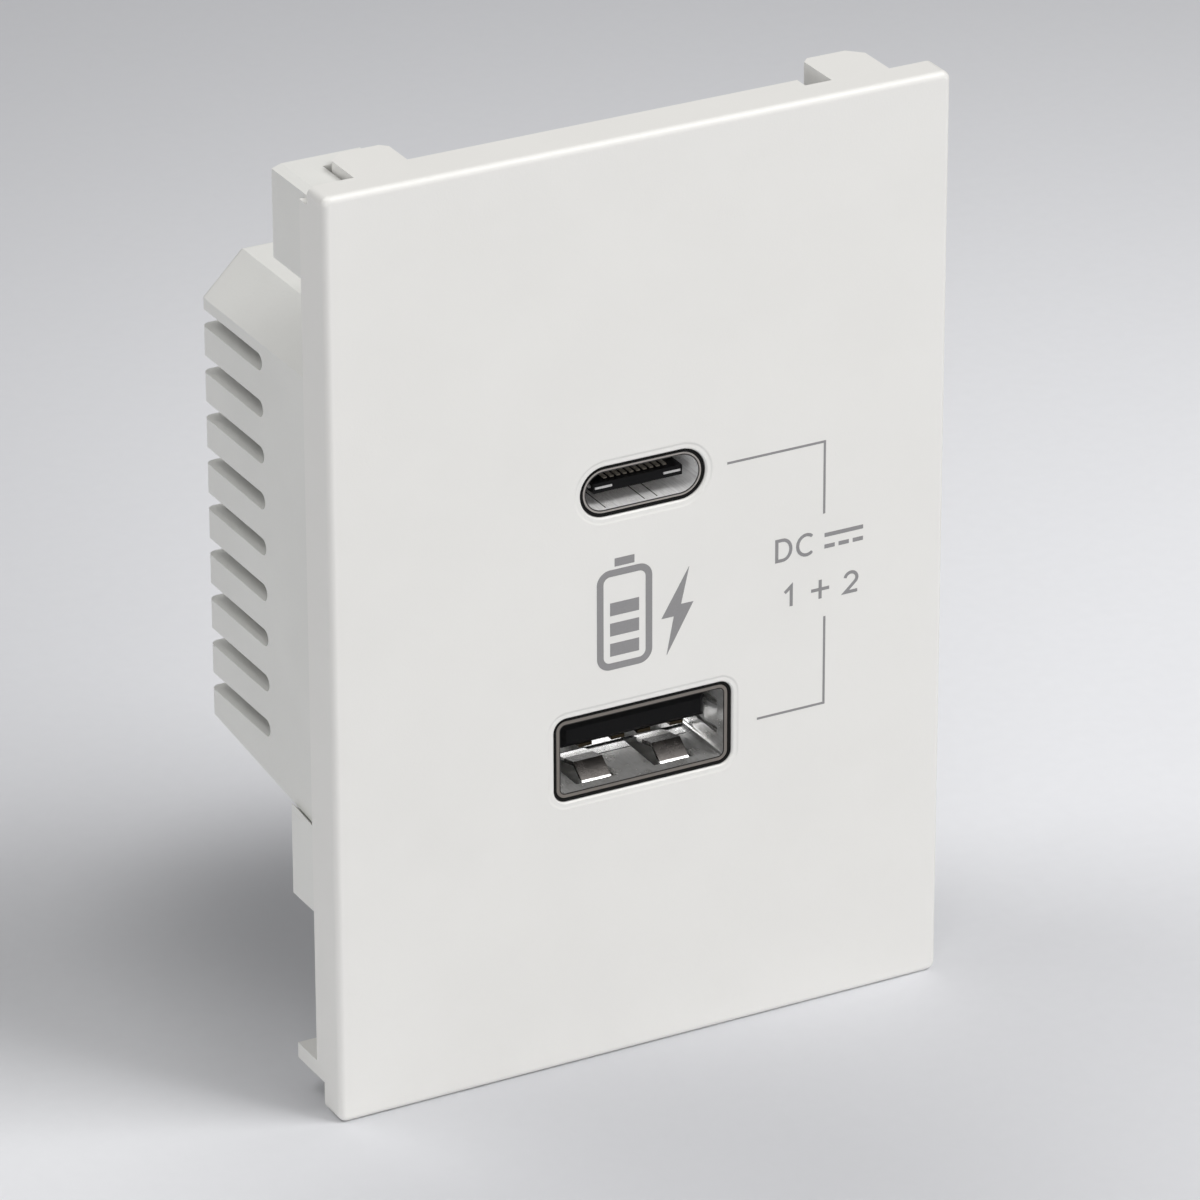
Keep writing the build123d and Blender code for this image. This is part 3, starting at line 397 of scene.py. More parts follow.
def plated_sheet(name, mirror, streak, node, corner, lip, rim, bright, dull):
    """Nickel-plated sheet: rolling lines along the depth, stains, and a sheared rim at the mouth,
    with painted shade as a dark line inward of its lip. Gives the finish and its colour, which
    isn't fed yet."""
    finish = Finish(name, {"Metallic": mirror})
    x, y, z = finish.axes()
    rolled = finish.cloud(size=1.0, stretch=(9.0, 0.5, 9.0))
    stain = finish.cloud(size=1.3)
    mouth = 1.0 - (y - SHELL_Y / MM).ramp(*RIM_FADE)
    share = stain.ramp(0.42, 0.72) * (1.0 - streak) + rolled.ramp(0.35, 0.7) * streak
    sheet = finish.tint(share, bright, dull)
    inward = 0.0 - beyond(x, z, node, corner)
    # Painted shade: a dark line on the rim inward of its lip
    edge = finish.tint(inward.ramp(lip - LIP_SOFT, lip + LIP_SOFT), rim, paint(46, 44, 43))
    finish.feed("Roughness", 0.15 + 0.12 * rolled + 0.1 * stain.ramp(0.45, 0.7) + 0.25 * mouth)
    finish.feed("Normal", finish.relief(rolled, depth=0.004))
    return finish, finish.tint(mouth, sheet, edge)


def usb_a_steel():
    """Larger shell: brownish rim, bright sheet, painted shade on the spring fingers' sloping faces,
    and behind them painted light, the sheet near white past a line, with dark lines along it."""
    mirror = 0.7
    finish, sheet = plated_sheet(
        "usb_a_steel",
        mirror,
        streak=0.3,
        node="usb_a_shell",
        corner=LARGER_CORNER,
        lip=LARGER_LIP,
        rim=paint(138, 132, 126),
        bright=paint(246, 246, 245),
        dull=paint(196, 194, 191),
    )
    x, y, z = finish.axes()
    low, _, _ = in_millimetres(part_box("usb_a_shell"))
    height = z - low[2]
    # Painted shade: the spring fingers' sloping faces are painted dark
    finger_shade = (1.0 - abs(abs(x) - FINGER_X).ramp(*FINGER_HALF)) * height.ramp(*FINGER_FOOT)
    finger_shade = finger_shade * (1.0 - height.ramp(*FINGER_TOP)) * (1.0 - y.ramp(*FINGER_END))
    # Painted light: past the line the sheet is painted near white and made more metallic; dark
    # lines run along it
    painted_glow = y.ramp(GLOW_LINE_Y - GLOW_LINE_SOFT, GLOW_LINE_Y + GLOW_LINE_SOFT)
    dark_lines = most_of((x > start) * (x < end) for start, end in DARK_LINE_XS)
    dark_lines = dark_lines * (abs(y - GLOW_LINE_Y) < DARK_LINE_HALF) * (height < DARK_LINE_TOP)
    sheet = finish.tint(painted_glow, sheet, paint(252, 252, 252))
    sheet = finish.tint(dark_lines, sheet, paint(52, 50, 48))
    finish.feed("Base Color", finish.tint(finger_shade, sheet, paint(50, 47, 45)))
    finish.feed("Metallic", mirror + 0.25 * painted_glow)
    return finish


def usb_c_steel():
    """Smaller shell: pale drawn rim, bright inside, with the fine seams of its folded floor."""
    finish, sheet = plated_sheet(
        "usb_c_steel",
        mirror=0.1,
        streak=0.6,
        node="usb_c_shell",
        corner=SMALLER_CORNER,
        lip=SMALLER_LIP,
        rim=paint(168, 163, 158),
        bright=paint(254, 254, 254),
        dull=paint(218, 216, 216),
    )
    x, y, z = finish.axes()
    _, _, middle = in_millimetres(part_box("usb_c_shell"))
    seams = most_of(1.0 - abs(x - place).ramp(*SEAM_EDGE) for place in SEAM_XS)
    floor = (z < middle[2]) * (y > (SHELL_Y / MM + SEAM_START))
    finish.feed("Base Color", finish.tint(seams * floor, sheet, paint(70, 68, 68)))
    return finish


def latch_steel():
    """Plate inside the smaller tongue: plain rolled steel, a little stained."""
    return clouded(
        "latch_steel",
        {"Metallic": 0.6},
        light=paint(226, 225, 224),
        dark=paint(180, 178, 176),
        gloss=0.3,
        spread=0.16,
        depth=0.003,
        size=0.6,
        stretch=(6.0, 0.6, 6.0),
    )


def gasket_black():
    """Soft black ring set in the gap round each shell, painted shade for that gap: dull, with a
    fine mould bloom.
    """
    return clouded(
        "gasket_black",
        {"IOR": 1.5, "Specular IOR Level": 0.2},
        light=paint(8, 8, 8),
        dark=paint(20, 20, 20),
        gloss=0.7,
        spread=0.15,
        depth=0.01,
        size=0.3,
    )


def tongue_black():
    """Glass-filled black moulding: pale fibre ends and a fine grain."""
    finish = Finish("tongue_black", {"IOR": 1.5, "Specular IOR Level": 0.16})
    grain = finish.cloud(size=0.09)
    fibre = finish.cloud(size=0.5, octaves=2.0, stretch=(7.0, 1.0, 7.0)).ramp(0.62, 0.74)
    share = fibre * 0.6 + grain * 0.2
    finish.feed("Base Color", finish.tint(share, paint(4, 4, 5), paint(16, 16, 17)))
    finish.feed("Roughness", 0.42 + 0.18 * grain)
    finish.feed("Normal", finish.relief(grain, depth=0.006))
    return finish


def contact_gilt(name, mirror, gilt, nickel):
    """Thinly gilt strips, with worn streaks that show the nickel below. The tones come from each
    use: darkened as painted shade in one copy, paler as painted light in the other.
    """
    finish = Finish(name, {"Metallic": mirror})
    streak = finish.cloud(size=0.7, stretch=(4.0, 0.6, 4.0))
    worn = streak.ramp(0.6, 0.75)
    finish.feed("Base Color", finish.tint(worn, gilt, nickel))
    finish.feed("Roughness", 0.2 + 0.2 * streak)
    finish.feed("Normal", finish.relief(streak, depth=0.003))
    return finish


def board_green():
    """Board under green solder mask: raised tracks both ways, tinned pads, a faint glass weave."""
    finish = Finish("board_green", {"IOR": 1.5, "Coat Weight": 0.35, "Coat Roughness": 0.2})
    track_pitch, track_half = 1.27, 0.17
    pad_pitch, pad_square = 2.54, 0.07
    x, _, z = finish.axes()
    zone = finish.cloud(size=5.0, octaves=1.0)
    across = (abs(z.off_middle(track_pitch)) < track_half) * zone.ramp(0.46, 0.5)
    upright = (abs(x.off_middle(track_pitch)) < track_half) * (1.0 - zone.ramp(0.5, 0.54))
    track = across.most(upright)
    pad = (x.off_middle(pad_pitch) ** 2.0 + z.off_middle(pad_pitch) ** 2.0) < pad_square
    pad = pad * finish.cloud(size=3.2, octaves=1.0).ramp(0.52, 0.54)
    weave = finish.cloud(size=0.3, octaves=2.0)
    mask = finish.tint(track, paint(18, 74, 48), paint(36, 108, 70))
    tinned = finish.tint(weave, paint(186, 186, 184), paint(150, 150, 148))
    finish.feed("Base Color", finish.tint(pad, mask, tinned))
    finish.feed("Metallic", pad * 0.9)
    finish.feed("Roughness", 0.36 + 0.1 * weave - 0.08 * pad)
    finish.feed("Normal", finish.relief(track * 0.6 + pad * 0.9 + weave * 0.1, depth=0.03))
    return finish


def chip_black():
    """Moulded package with tinned leads: the leads are what stands past the body's two sides."""
    finish = Finish("chip_black", {"IOR": 1.55})
    body_side, lead_end = (1.96, 2.0), 4.0
    x, _, _ = finish.axes()
    _, _, middle = in_millimetres(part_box("controller_chip"))
    off = abs(x - middle[0])
    lead = off.ramp(*body_side) * (1.0 - (off > lead_end))
    grain = finish.cloud(size=0.12)
    body = finish.tint(grain, paint(30, 30, 32), paint(46, 46, 48))
    tin = finish.tint(grain, paint(190, 190, 188), paint(164, 164, 162))
    finish.feed("Base Color", finish.tint(lead, body, tin))
    finish.feed("Metallic", lead * 0.95)
    finish.feed("Roughness", 0.58 + 0.1 * grain - 0.25 * lead)
    finish.feed("Normal", finish.relief(grain, depth=0.01))
    return finish


def rectifier_black():
    """Moulded package, grainy, with a paler bar at one end."""
    finish = Finish("rectifier_black", {"IOR": 1.55})
    bar_width = 1.1
    x, _, _ = finish.axes()
    _, high, _ = in_millimetres(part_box("bridge_rectifier"))
    bar = x > (high[0] - bar_width)
    grain = finish.cloud(size=0.14)
    share = bar * 0.8 + grain * 0.1
    finish.feed("Base Color", finish.tint(share, paint(34, 34, 36), paint(150, 150, 150)))
    finish.feed("Roughness", 0.55 + 0.12 * grain)
    finish.feed("Normal", finish.relief(grain, depth=0.012))
    return finish


def ferrite_grey():
    """Sintered ferrite: dark grey with pores and sparkling grains."""
    finish = Finish("ferrite_grey", {"IOR": 1.9})
    pores = finish.pits(size=0.35).ramp(0.04, 0.3)
    grain = finish.cloud(size=0.2, octaves=4.0)
    share = grain * 0.7 + pores * 0.3
    finish.feed("Base Color", finish.tint(share, paint(44, 43, 44), paint(84, 82, 82)))
    finish.feed("Roughness", 0.48 + 0.2 * grain)
    finish.feed("Normal", finish.relief(pores * 0.6 + grain * 0.4, depth=0.02))
    return finish


def bobbin_black():
    """Dark phenolic moulding with mottled filler."""
    return clouded(
        "bobbin_black",
        {"IOR": 1.55},
        light=paint(24, 22, 20),
        dark=paint(58, 52, 46),
        gloss=0.45,
        spread=0.2,
        depth=0.01,
        size=0.4,
        octaves=4.0,
    )


def winding_tape():
    """Yellow film tape in overlapping turns along the coil, crinkled where it bridges the wires."""
    finish = Finish("winding_tape", {"IOR": 1.6, "Coat Weight": 0.5, "Coat Roughness": 0.15})
    tape_width, lap_share = 2.3, 0.06
    _, _, z = finish.axes()
    turn = z.along(tape_width)
    lap = 1.0 - turn.ramp(0.0, lap_share)
    crinkle = finish.cloud(size=0.8, stretch=(0.5, 0.5, 2.5))
    share = lap * 0.6 + crinkle * 0.4
    finish.feed("Base Color", finish.tint(share, paint(226, 178, 40), paint(178, 128, 22)))
    finish.feed("Roughness", 0.26 + 0.16 * crinkle)
    finish.feed("Normal", finish.relief(turn * 0.5 + crinkle * 0.5, depth=0.05))
    return finish


def capacitor_sleeve():
    """Shrunk sleeve with a pale stripe down one side, and the bare can at its rounded end."""
    finish = Finish("capacitor_sleeve", {"IOR": 1.5})
    can_height, stripe_half = 0.5, 1.2
    x, _, z = finish.axes()
    _, high, middle = in_millimetres(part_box("input_capacitor"))
    can = z > (high[2] - can_height)
    stripe = (abs(x - middle[0]) < stripe_half) * (1.0 - can)
    shrink = finish.cloud(size=0.9)
    sleeve = finish.tint(stripe, paint(34, 40, 62), paint(176, 182, 190))
    metal = finish.tint(shrink, paint(200, 200, 200), paint(172, 172, 172))
    finish.feed("Base Color", finish.tint(can, sleeve, metal))
    finish.feed("Metallic", can * 0.95)
    finish.feed("Roughness", 0.34 + 0.14 * shrink)
    finish.feed("Normal", finish.relief(shrink, depth=0.02))
    return finish


def capacitor_can():
    """Small cans: plain sleeve round the side, bare metal with a scored cross on the end."""
    finish = Finish("capacitor_can", {"IOR": 1.5})
    end_skin, score_half = 0.12, 0.12
    x, y, z = finish.axes()
    low, high, middle = in_millimetres(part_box("output_capacitors"))
    end = y < (low[1] + end_skin)
    radius = (high[2] - low[2]) / 2
    can_x = (high[0] - low[0]) / 2 - radius
    beside = abs(abs(x - middle[0]) - can_x)
    score = (beside < score_half).most(abs(z - middle[2]) < score_half)
    shrink = finish.cloud(size=0.7)
    sleeve = finish.tint(shrink, paint(28, 52, 44), paint(40, 70, 60))
    metal = finish.tint(score, paint(204, 204, 204), paint(120, 120, 120))
    finish.feed("Base Color", finish.tint(end, sleeve, metal))
    finish.feed("Metallic", end * 0.95)
    finish.feed("Roughness", 0.36 + 0.12 * shrink)
    finish.feed("Normal", finish.relief(1.0 - score * end, depth=0.05))
    return finish


def fuse_body():
    """Dipped resistor: green body with colour rings, tinned caps at both ends."""
    finish = Finish("fuse_body", {"IOR": 1.5, "Coat Weight": 0.4})
    cap_width, cap_soft = 0.8, 0.05
    ring_pitch, ring_half, ring_reach = 0.9, 0.16, 1.4
    x, _, _ = finish.axes()
    _, high, _ = in_millimetres(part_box("fuse_resistor"))
    cap_start = high[0] - cap_width
    cap = abs(x).ramp(cap_start, cap_start + cap_soft)
    ring = (abs(x.off_middle(ring_pitch)) < ring_half) * (abs(x) < ring_reach)
    dip = finish.cloud(size=0.8)
    body = finish.tint(ring, paint(84, 118, 92), paint(150, 60, 34))
    coat = finish.tint(dip * 0.3, body, paint(60, 90, 70))
    tin = finish.tint(dip, paint(196, 196, 192), paint(168, 168, 164))
    finish.feed("Base Color", finish.tint(cap, coat, tin))
    finish.feed("Metallic", cap * 0.9)
    finish.feed("Roughness", 0.3 + 0.16 * dip)
    finish.feed("Normal", finish.relief(dip, depth=0.03))
    return finish


def disc_blue():
    """Dipped ceramic disc: blue coat, orange-peel surface."""
    return clouded(
        "disc_blue",
        {"IOR": 1.5, "Coat Weight": 0.5, "Coat Roughness": 0.12},
        light=paint(30, 84, 150),
        dark=paint(46, 108, 176),
        gloss=0.3,
        spread=0.12,
        depth=0.03,
        size=0.5,
        octaves=2.0,
    )


def block_grey():
    """Terminal block: pale grey glass-filled nylon with fibre flecks."""
    finish = Finish("block_grey", {"IOR": 1.53})
    grain = finish.cloud(size=0.2)
    fleck = finish.cloud(size=0.8, octaves=2.0, stretch=(5.0, 1.0, 5.0)).ramp(0.6, 0.72)
    share = fleck * 0.5 + grain * 0.3
    finish.feed("Base Color", finish.tint(share, paint(176, 178, 178), paint(206, 206, 202)))
    finish.feed("Roughness", 0.48 + 0.16 * grain)
    finish.feed("Normal", finish.relief(grain, depth=0.012))
    return finish


def clamp_brass(name):
    """Stamped brass with die lines along the strip and darker tarnish in clouds."""
    finish = Finish(name, {"Metallic": 1.0})
    drawn = finish.cloud(size=0.6, stretch=(8.0, 0.7, 8.0))
    tarnish = finish.cloud(size=2.0)
    share = tarnish.ramp(0.4, 0.75) * 0.8 + drawn * 0.2
    finish.feed("Base Color", finish.tint(share, paint(218, 182, 104), paint(158, 122, 62)))
    finish.feed("Roughness", 0.22 + 0.2 * drawn + 0.1 * tarnish)
    finish.feed("Normal", finish.relief(drawn, depth=0.006))
    return finish


def screw_steel():
    """Zinc-plated screw: turned rings round each axis, thread on the shank, a faint yellow pass."""
    finish = Finish("screw_steel", {"Metallic": 1.0})
    ring_pitch, thread_pitch, shank_side = 0.12, 0.5, (1.5, 1.6)
    x, y, z = finish.axes()
    _, _, middle = in_millimetres(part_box("neutral_screw"))
    reach = distance(abs(x) - middle[0], z - middle[2])
    rings = reach.along(ring_pitch)
    thread = y.off_middle(thread_pitch) * (1.0 - reach.ramp(*shank_side))
    plating = finish.cloud(size=0.9)
    finish.feed("Base Color", finish.tint(plating, paint(204, 204, 198), paint(176, 172, 156)))
    finish.feed("Roughness", 0.26 + 0.14 * plating + 0.06 * rings)
    finish.feed("Normal", finish.relief(rings * 0.1 + abs(thread), depth=0.06))
    return finish


def mark_ink():
    """Pad-printed grey ink: slightly uneven film."""
    return clouded(
        "mark_ink",
        {"IOR": 1.48},
        light=paint(140, 139, 140),
        dark=paint(151, 150, 151),
        gloss=0.46,
        spread=0.12,
        depth=0.003,
        size=0.12,
    )


def studio_floor():
    """Pale matt paper: cool grey with faint fibres, under a painted pool of light that is palest at
    the right of the part and deeper further off, with painted shadow under the housing and before
    the plate's foot and a painted paler patch at the left."""
    finish = Finish("studio_floor", {"Specular IOR Level": 0.2})
    x, y, _ = finish.axes()
    fibre = finish.cloud(size=1.2, octaves=4.0)
    reach = distance(x - LIT_POOL_X, y - LIT_POOL_Y)
    # Painted pool of light: the paper is palest round one point and deeper further off
    paper_with_painted_light = finish.tint(reach.ramp(0.0, LIT_POOL_REACH), paint(243, 244, 248), paint(198, 199, 203))
    # Painted shadow under the housing and before the plate's foot, and a painted paler patch at the
    # left
    for tone_x, tone_y, near, far, share, tone in FLOOR_PAINTED_LIGHT_AND_SHADE:
        off = distance(x - tone_x, y - tone_y)
        paper_with_painted_light = finish.tint((1.0 - off.ramp(near, far)) * share, paper_with_painted_light, paint(*tone))
    finish.feed("Base Color", finish.tint(fibre * 0.06, paper_with_painted_light, paint(160, 161, 165)))
    finish.feed("Roughness", 0.82 + 0.1 * fibre)
    finish.feed("Normal", finish.relief(fibre, depth=0.01))
    return finish


def unit(steps):
    """Each step, made one long."""
    return steps / np.linalg.norm(steps, axis=1, keepdims=True)


def run_along(points):
    """How far each point is from the first, along the path."""
    return np.concatenate([[0.0], np.cumsum(np.linalg.norm(np.diff(points, axis=0), axis=1))])


def stroke_rows(path, width, closed=False, rounded=False):
    """A line as rows of two edge points. Each path point goes half the width to either side along
    the mitre of its two neighbours; a rounded end closes the width as half a circle."""
    points = np.array(path, float)
    before, after = np.roll(points, 1, 0), np.roll(points, -1, 0)
    into, out = points - before, after - points
    if not closed:
        into[0], out[-1] = out[0], into[-1]
    into, out = unit(into), unit(out)
    side = unit(np.stack([-(into + out)[:, 1], (into + out)[:, 0]], 1))
    slant = np.maximum((side * np.stack([-into[:, 1], into[:, 0]], 1)).sum(1), LEAST_SLANT)
    half = np.full(len(points), width / 2)
    if rounded:
        run = run_along(points)
        inset = np.minimum(np.minimum(run, run[-1] - run) / (width / 2), 1.0)
        half = half * np.sqrt(np.maximum(1.0 - (1.0 - inset) ** 2, LEAST_TIP))
    reach = side * (half / slant)[:, None]
    rows = np.stack([points + reach, points - reach], 1)
    return np.concatenate([rows, rows[:1]]) if closed else rows


def finely(path, step):
    """The same path with points at most a step apart."""
    points = np.array(path, float)
    run = run_along(points)
    even = np.linspace(0.0, run[-1], max(2, int(run[-1] / step) + 1))
    where = np.unique(np.concatenate([run, even]))
    return np.stack([np.interp(where, run, points[:, axis]) for axis in range(2)], 1)


def arc(centre, radius, start, end, squeeze=1.0):
    """Points on a circle from one angle to another in degrees, the width times squeeze."""
    angle = np.radians(np.linspace(start, end, ROUND_STEPS + 1))
    across = centre[0] + squeeze * radius * np.cos(angle)
    return np.stack([across, centre[1] + radius * np.sin(angle)], 1)


def rounded_box(middle, size, radius):
    """Closed outline of a box with quarter-circle corners."""
    half = np.array(size) / 2 - radius
    corners = ((1, 1, 0), (-1, 1, 90), (-1, -1, 180), (1, -1, 270))
    centres = [(np.array(middle) + half * (sx, sz), turn) for sx, sz, turn in corners]
    return np.concatenate([arc(centre, radius, turn, turn + 90) for centre, turn in centres])


def bar_rows(left, low, width, height):
    """A level bar as rows of two edge points."""
    right, high = left + width, low + height
    return np.array([[(left, low), (right, low)], [(left, high), (right, high)]])


def new_object(name, verts, faces, material):
    """An object of one material, its points in metres, linked to the scene."""
    mesh = bpy.data.meshes.new(name)
    mesh.from_pydata(verts.tolist(), [], faces.tolist())
    mesh.validate()
    mesh.update()
    mesh.materials.append(material)
    made = bpy.data.objects.new(name, mesh)
    bpy.context.scene.collection.objects.link(made)
    return made


def ink_piece(name, films, wall_y, facing, ink):
    """One printed mark. Each film is rows of points (X, Z) in millimetres, a surface of two
    parameters: it lies a hair in front of the wall, and its rim turns back into the plastic."""
    verts, faces, start = [], [], 0
    for film in films:
        rows, columns = film.shape[:2]
        flat = film.reshape(-1, 2) * MM
        film_y = np.full(len(flat), wall_y + facing * INK_PROUD)
        top = np.column_stack([flat[:, 0], film_y, flat[:, 1]])
        index = np.arange(rows * columns).reshape(rows, columns)
        corners = [index[:-1, :-1], index[:-1, 1:], index[1:, 1:], index[1:, :-1]]
        quads = np.stack(corners, -1).reshape(-1, 4)
        rim = np.concatenate([index[0, :-1], index[:-1, -1], index[-1, :0:-1], index[:0:-1, 0]])
        skirt = top[rim] - np.array([0.0, facing * (INK_PROUD + INK_KEY), 0.0])
        low = rows * columns + np.arange(len(rim))
        edge = np.stack([rim, low, np.roll(low, -1), np.roll(rim, -1)], -1)
        first, second, third = (top[quads[:, corner]] for corner in range(3))
        area = np.cross(second - first, third - first).sum(0)
        every = np.concatenate([quads, edge])
        if area[1] * facing < 0:
            every = every[:, ::-1]
        verts.append(np.concatenate([top, skirt]))
        faces.append(every + start)
        start += len(top) + len(skirt)
    piece = new_object(name, np.concatenate(verts), np.concatenate(faces), ink)
    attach(piece, BODY)


def drawn_strip(name, rims, depths, white):
    """A strip of the clip frame, drawn along the depth: a rim of points (X, Z) in millimetres at
    each depth."""
    rims = np.array(rims, float)
    steps, count = rims.shape[:2]
    along = np.repeat(np.array(depths)[:, None], count, 1)
    verts = np.stack([rims[..., 0], along, rims[..., 1]], -1).reshape(-1, 3) * MM
    index = np.arange(steps * count).reshape(steps, count)
    after = np.roll(index, -1, 1)
    sides = np.stack([index[:-1], index[1:], after[1:], after[:-1]], -1).reshape(-1, 4)
    ends = np.stack([index[0], index[-1][::-1]])
    piece = new_object(name, verts, np.concatenate([sides, ends]), white)
    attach(piece, BODY)


def ear_crest(white):
    """Crest of the left ear, that eases the ear's bevel to a shallow slope with a crisp edge."""
    underside = (CREST_IN / 2, -CREST_LOW / 2 - CREST_KEY)
    rim = np.array([(CREST_IN, 0.0), (0.0, -CREST_FALL), (0.0, -CREST_LOW), underside])
    depths = np.linspace(CREST_YS[0], CREST_YS[1], STRIP_STEPS + 1)
    drawn_strip("ear_crest", [rim + np.array([EAR_X, EAR_TOP])] * len(depths), depths, white)


def arm_shoulders(white):
    """Wedge on each side arm's sloping top, that closes the gap below the housing's underside."""
    depths = np.linspace(SHOULDER_YS[0], SHOULDER_YS[1], STRIP_STEPS + 1)
    rises = np.interp(depths, SHOULDER_YS, SHOULDER_RISES)
    outer = np.array([EAR_X + SHOULDER_INSET, ARM_TOP - SHOULDER_INSET])
    inner = outer + np.array([SHOULDER_W, -SHOULDER_W])
    rims = np.array([[inner + (0, rise), outer + (0, rise), outer, inner] for rise in rises])
    rims[:, 2:, 1] -= SHOULDER_KEY
    drawn_strip("left_arm_shoulder", rims, depths, white)
    drawn_strip("right_arm_shoulder", rims[:, ::-1] * np.array([-1.0, 1.0]), depths, white)


def guide_lines(ink):
    """Two thin right-angled lines that lead from the outlets to the figures between them."""
    upper = [(6.35, 8.84), (13.85, 8.84), (13.85, 3.5)]
    lower = [(13.95, -4.2), (13.95, -10.75), (8.75, -10.75)]
    ink_piece("upper_guide_line", [stroke_rows(upper, LINE_W)], FACE_Y, TO_FRONT, ink)
    ink_piece("lower_guide_line", [stroke_rows(lower, LINE_W)], FACE_Y, TO_FRONT, ink)


def charge_marks(ink):
    """A plain cell with three level bars, and a plain flash beside it."""
    outline = rounded_box(middle=(-1.45, -0.75), size=(3.7, 6.9), radius=0.75)
    cell = stroke_rows(outline, MARK_W, closed=True)
    cap = bar_rows(left=-2.2, low=3.15, width=1.5, height=0.6)
    bars = [bar_rows(left=-2.55, low=low, width=2.2, height=0.95) for low in (-3.45, -1.95, -0.45)]
    ink_piece("cell_mark", [cell, cap] + bars, FACE_Y, TO_FRONT, ink)
    left = np.array([(3.45, 1.9), (1.35, -1.55), (2.3, -1.55), (1.75, -4.3)])
    right = np.array([(3.47, 1.9), (2.85, -0.75), (3.8, -0.75), (1.77, -4.3)])
    ink_piece("flash_mark", [np.stack([left, right], 1)], FACE_Y, TO_FRONT, ink)


def current_marks(ink):
    """The sign for direct current, a bar over three dashes, and the two letters before it."""
    middle, bar_low, dash_low, height = 15.4, 1.72, 0.87, 0.3
    bar_width, dash_width, dash_pitch = 3.0, 0.8, 1.1
    films = [bar_rows(middle - bar_width / 2, bar_low, bar_width, height)]
    for step in (-1, 0, 1):
        left = middle + step * dash_pitch - dash_width / 2
        films.append(bar_rows(left, dash_low, dash_width, height))
    base, radius = 0.72, TYPE_H / 2
    stem_x, bowl_x, open_x, fine_step = 10.2, 10.65, 12.5, 0.04
    bowl = arc((bowl_x, base + radius), radius, start=90, end=-90, squeeze=0.85)
    letter_d = np.concatenate([[(stem_x, base), (stem_x, base + TYPE_H)], bowl])
    films.append(stroke_rows(letter_d, TYPE_W, closed=True))
    letter_c = arc((open_x, base + radius), radius, start=48, end=312, squeeze=0.92)
    films.append(stroke_rows(finely(letter_c, fine_step), TYPE_W, rounded=True))
    ink_piece("current_marks", films, FACE_Y, TO_FRONT, ink)


def outlet_figures(ink):
    """Plain figures for the two outlets, with a plus between them."""
    base = -2.85
    flag_x, flag_height, one_x = 10.85, 0.72, 11.35
    one = [(flag_x, base + TYPE_H * flag_height), (one_x, base + TYPE_H), (one_x, base)]
    plus_x, plus_z, reach = 13.6, base + TYPE_H / 2, 0.7
    beam = [(plus_x - reach, plus_z), (plus_x + reach, plus_z)]
    post_up = [(plus_x, plus_z + TYPE_W / 2), (plus_x, plus_z + reach)]
    post_down = [(plus_x, plus_z - reach), (plus_x, plus_z - TYPE_W / 2)]
    crown_x, crown_radius = 16.0, 0.44
    foot_left, foot_right, foot_z = 15.55, 16.5, base + 0.06
    crown_z = base + TYPE_H - crown_radius
    crown = arc((crown_x, crown_z), crown_radius, start=170, end=-35, squeeze=1.05)
    two = np.concatenate([crown, [(foot_left, foot_z), (foot_right, foot_z)]])
    films = [stroke_rows(path, TYPE_W) for path in (one, two, beam, post_up, post_down)]
    ink_piece("outlet_figures", films, FACE_Y, TO_FRONT, ink)


def terminal_marks(ink):
    """The two conductor letters on the back, beside their screws."""
    base, top = 9.6, 11.6
    letter_l = [(-12.0, top), (-12.0, base), (-13.1, base)]
    letter_n = [(13.2, base), (13.2, top), (11.9, base), (11.9, top)]
    films = [stroke_rows(path, TYPE_W) for path in (letter_l, letter_n)]
    ink_piece("terminal_marks", films, BACK_Y, TO_BACK, ink)


def dress_solids():
    """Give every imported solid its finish."""
    # The gasket is a black ring that stands for the shade in the gap round each shell
    gasket, black, bobbin = gasket_black(), tongue_black(), bobbin_black()
    # Two copies of the gilt strips, toned for how lit they sit: painted shade darkens the larger
    # outlet's contacts, and painted light makes the smaller outlet's contacts and the link pins
    # paler
    gilt_with_painted_shade = contact_gilt("gilt_with_painted_shade", 1.0, paint(52, 45, 33), paint(40, 38, 35))
    gilt_with_painted_light = contact_gilt("gilt_with_painted_light", 0.4, paint(138, 132, 122), paint(114, 111, 105))
    board, ferrite, screw = board_green(), ferrite_grey(), screw_steel()
    cage, busbar = clamp_brass("cage_brass"), clamp_brass("busbar_brass")
    finishes = {
        "front_cover": cover_white(),
        "clip_frame": frame_white(),
        "rear_housing": housing_white(),
        "usb_a_gasket": gasket,
        "usb_c_gasket": gasket,
        "usb_a_shell": usb_a_steel(),
        "usb_c_shell": usb_c_steel(),
        "usb_c_mid_plate": latch_steel(),
        "usb_a_insulator": black,
        "usb_c_insulator": black,
        "usb_a_contacts": gilt_with_painted_shade,
        "usb_c_contacts": gilt_with_painted_light,
        "port_board": board,
        "main_board": board,
        "link_header": bobbin,
        "link_pins": gilt_with_painted_light,
        "transformer_core": ferrite,
        "transformer_bobbin": bobbin,
        "transformer_winding": winding_tape(),
        "input_capacitor": capacitor_sleeve(),
        "output_capacitors": capacitor_can(),
        "controller_chip": chip_black(),
        "bridge_rectifier": rectifier_black(),
        "fuse_resistor": fuse_body(),
        "input_choke": ferrite,
        "safety_capacitor": disc_blue(),
        "terminal_block": block_grey(),
        "terminal_busbars": busbar,
        "line_cage": cage,
        "neutral_cage": cage,
        "line_screw": screw,
        "neutral_screw": screw,
    }
    for name, finish in finishes.items():
        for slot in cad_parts[name].material_slots:
            slot.material = finish.material


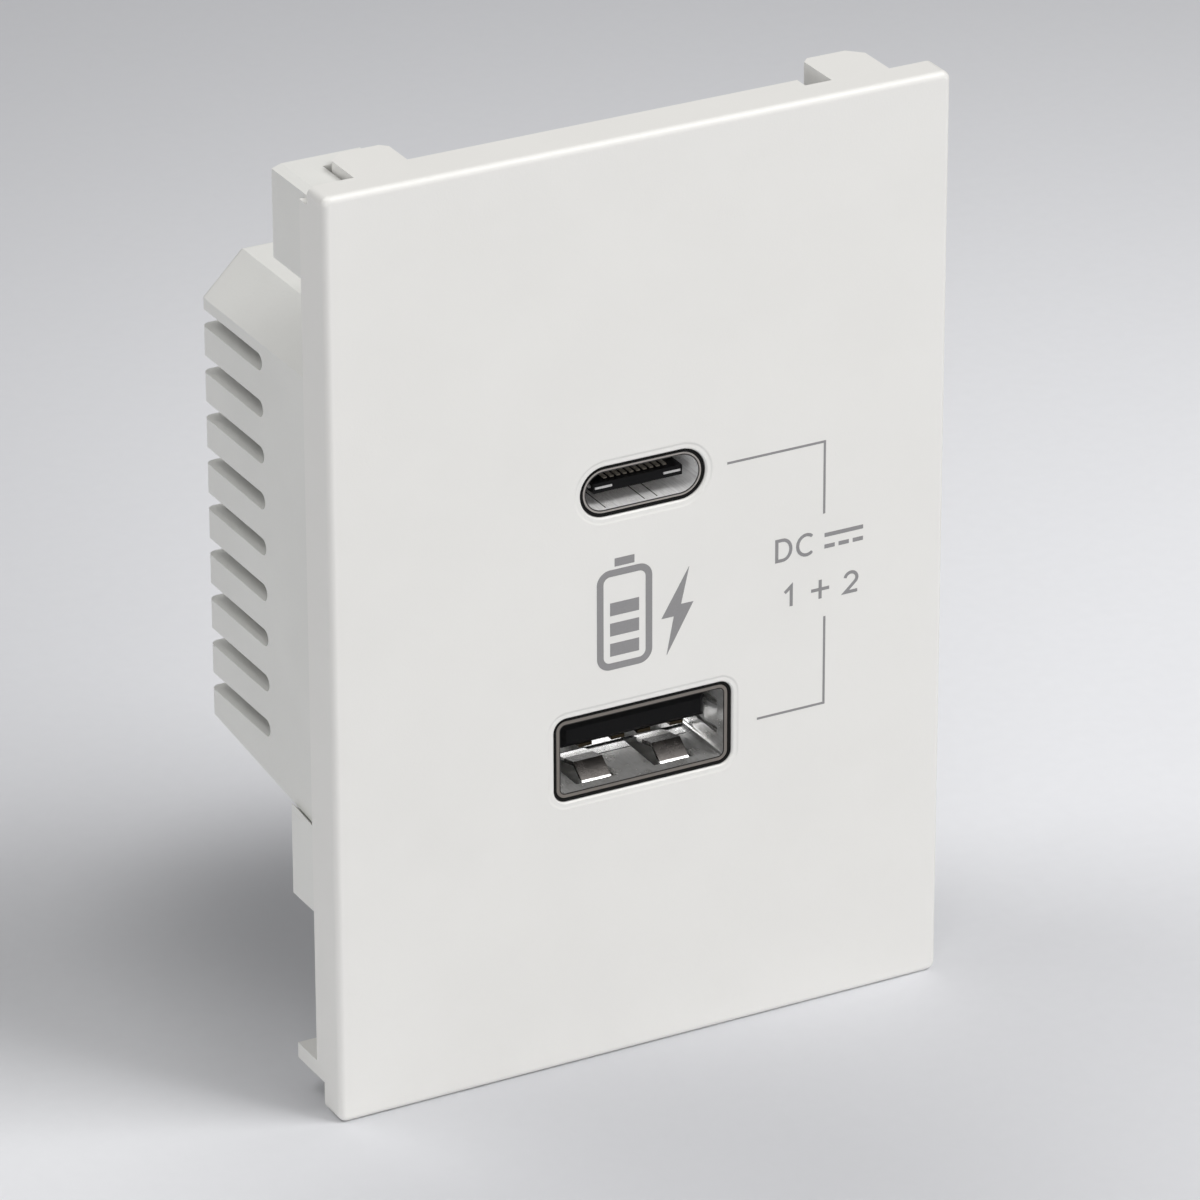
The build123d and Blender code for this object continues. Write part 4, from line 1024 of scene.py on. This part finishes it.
def lay_floor():
    """Flat sheet of two parameters under the part, wide enough to fill the view."""
    reach = np.linspace(-FLOOR_HALF, FLOOR_HALF, FLOOR_POINTS)
    x, y = np.meshgrid(reach, reach, indexing="ij")
    verts = np.stack([x, y, np.full_like(x, FLOOR_Z)], -1).reshape(-1, 3)
    index = np.arange(x.size).reshape(x.shape)
    corners = [index[:-1, :-1], index[1:, :-1], index[1:, 1:], index[:-1, 1:]]
    quads = np.stack(corners, -1).reshape(-1, 4)
    floor = new_object("studio_floor", verts, quads, studio_floor().material)


def soft_light(name, place, size, power):
    """Square soft box at a place, turned towards the lights' aim."""
    light = bpy.data.lights.new(name, "AREA")
    light.shape = "SQUARE"
    light.size = size
    light.energy = power
    light.color = WARM_WHITE
    lamp = bpy.data.objects.new(name, light)
    bpy.context.scene.collection.objects.link(lamp)
    lamp.location = place
    lamp.rotation_euler = (Vector(LIGHT_AIM) - Vector(place)).to_track_quat("-Z", "Y").to_euler()


def light_studio():
    """Soft key high at the front right, two lights that shine into the outlets from the front, a
    low one along the left side, one overhead, one high behind the left, and a dim surround."""
    for name, (place, size, power) in LIGHTS.items():
        soft_light(name, place, size, power)
    world = bpy.data.worlds.new("studio_surround")
    world.use_nodes = True
    world.node_tree.nodes["Background"].inputs["Color"].default_value = SURROUND
    world.node_tree.nodes["Background"].inputs["Strength"].default_value = SURROUND_POWER
    bpy.context.scene.world = world
    bpy.context.scene.view_settings.view_transform = "Standard"


def place_camera():
    """Long lens from the upper left, fitted to the plate's corners."""
    place, target = Vector(CAMERA_PLACE) * MM, Vector(CAMERA_TARGET) * MM
    lens = bpy.data.cameras.new("studio_camera")
    lens.sensor_fit = "HORIZONTAL"
    lens.sensor_width = SENSOR_W
    lens.lens = CAMERA_LENS
    lens.clip_start = CLIP_START
    lens.clip_end = CLIP_END
    camera = bpy.data.objects.new("studio_camera", lens)
    bpy.context.scene.collection.objects.link(camera)
    aimed = (target - place).to_track_quat("-Z", "Y").to_matrix().to_4x4()
    rolled = Matrix.Rotation(math.radians(CAMERA_ROLL), 4, "Z")
    camera.matrix_world = Matrix.Translation(place) @ aimed @ rolled
    bpy.context.scene.camera = camera


dress_solids()
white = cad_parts["clip_frame"].material_slots[0].material
ear_crest(white)
arm_shoulders(white)
ink = mark_ink().material
guide_lines(ink)
charge_marks(ink)
current_marks(ink)
outlet_figures(ink)
terminal_marks(ink)
lay_floor()
light_studio()
place_camera()
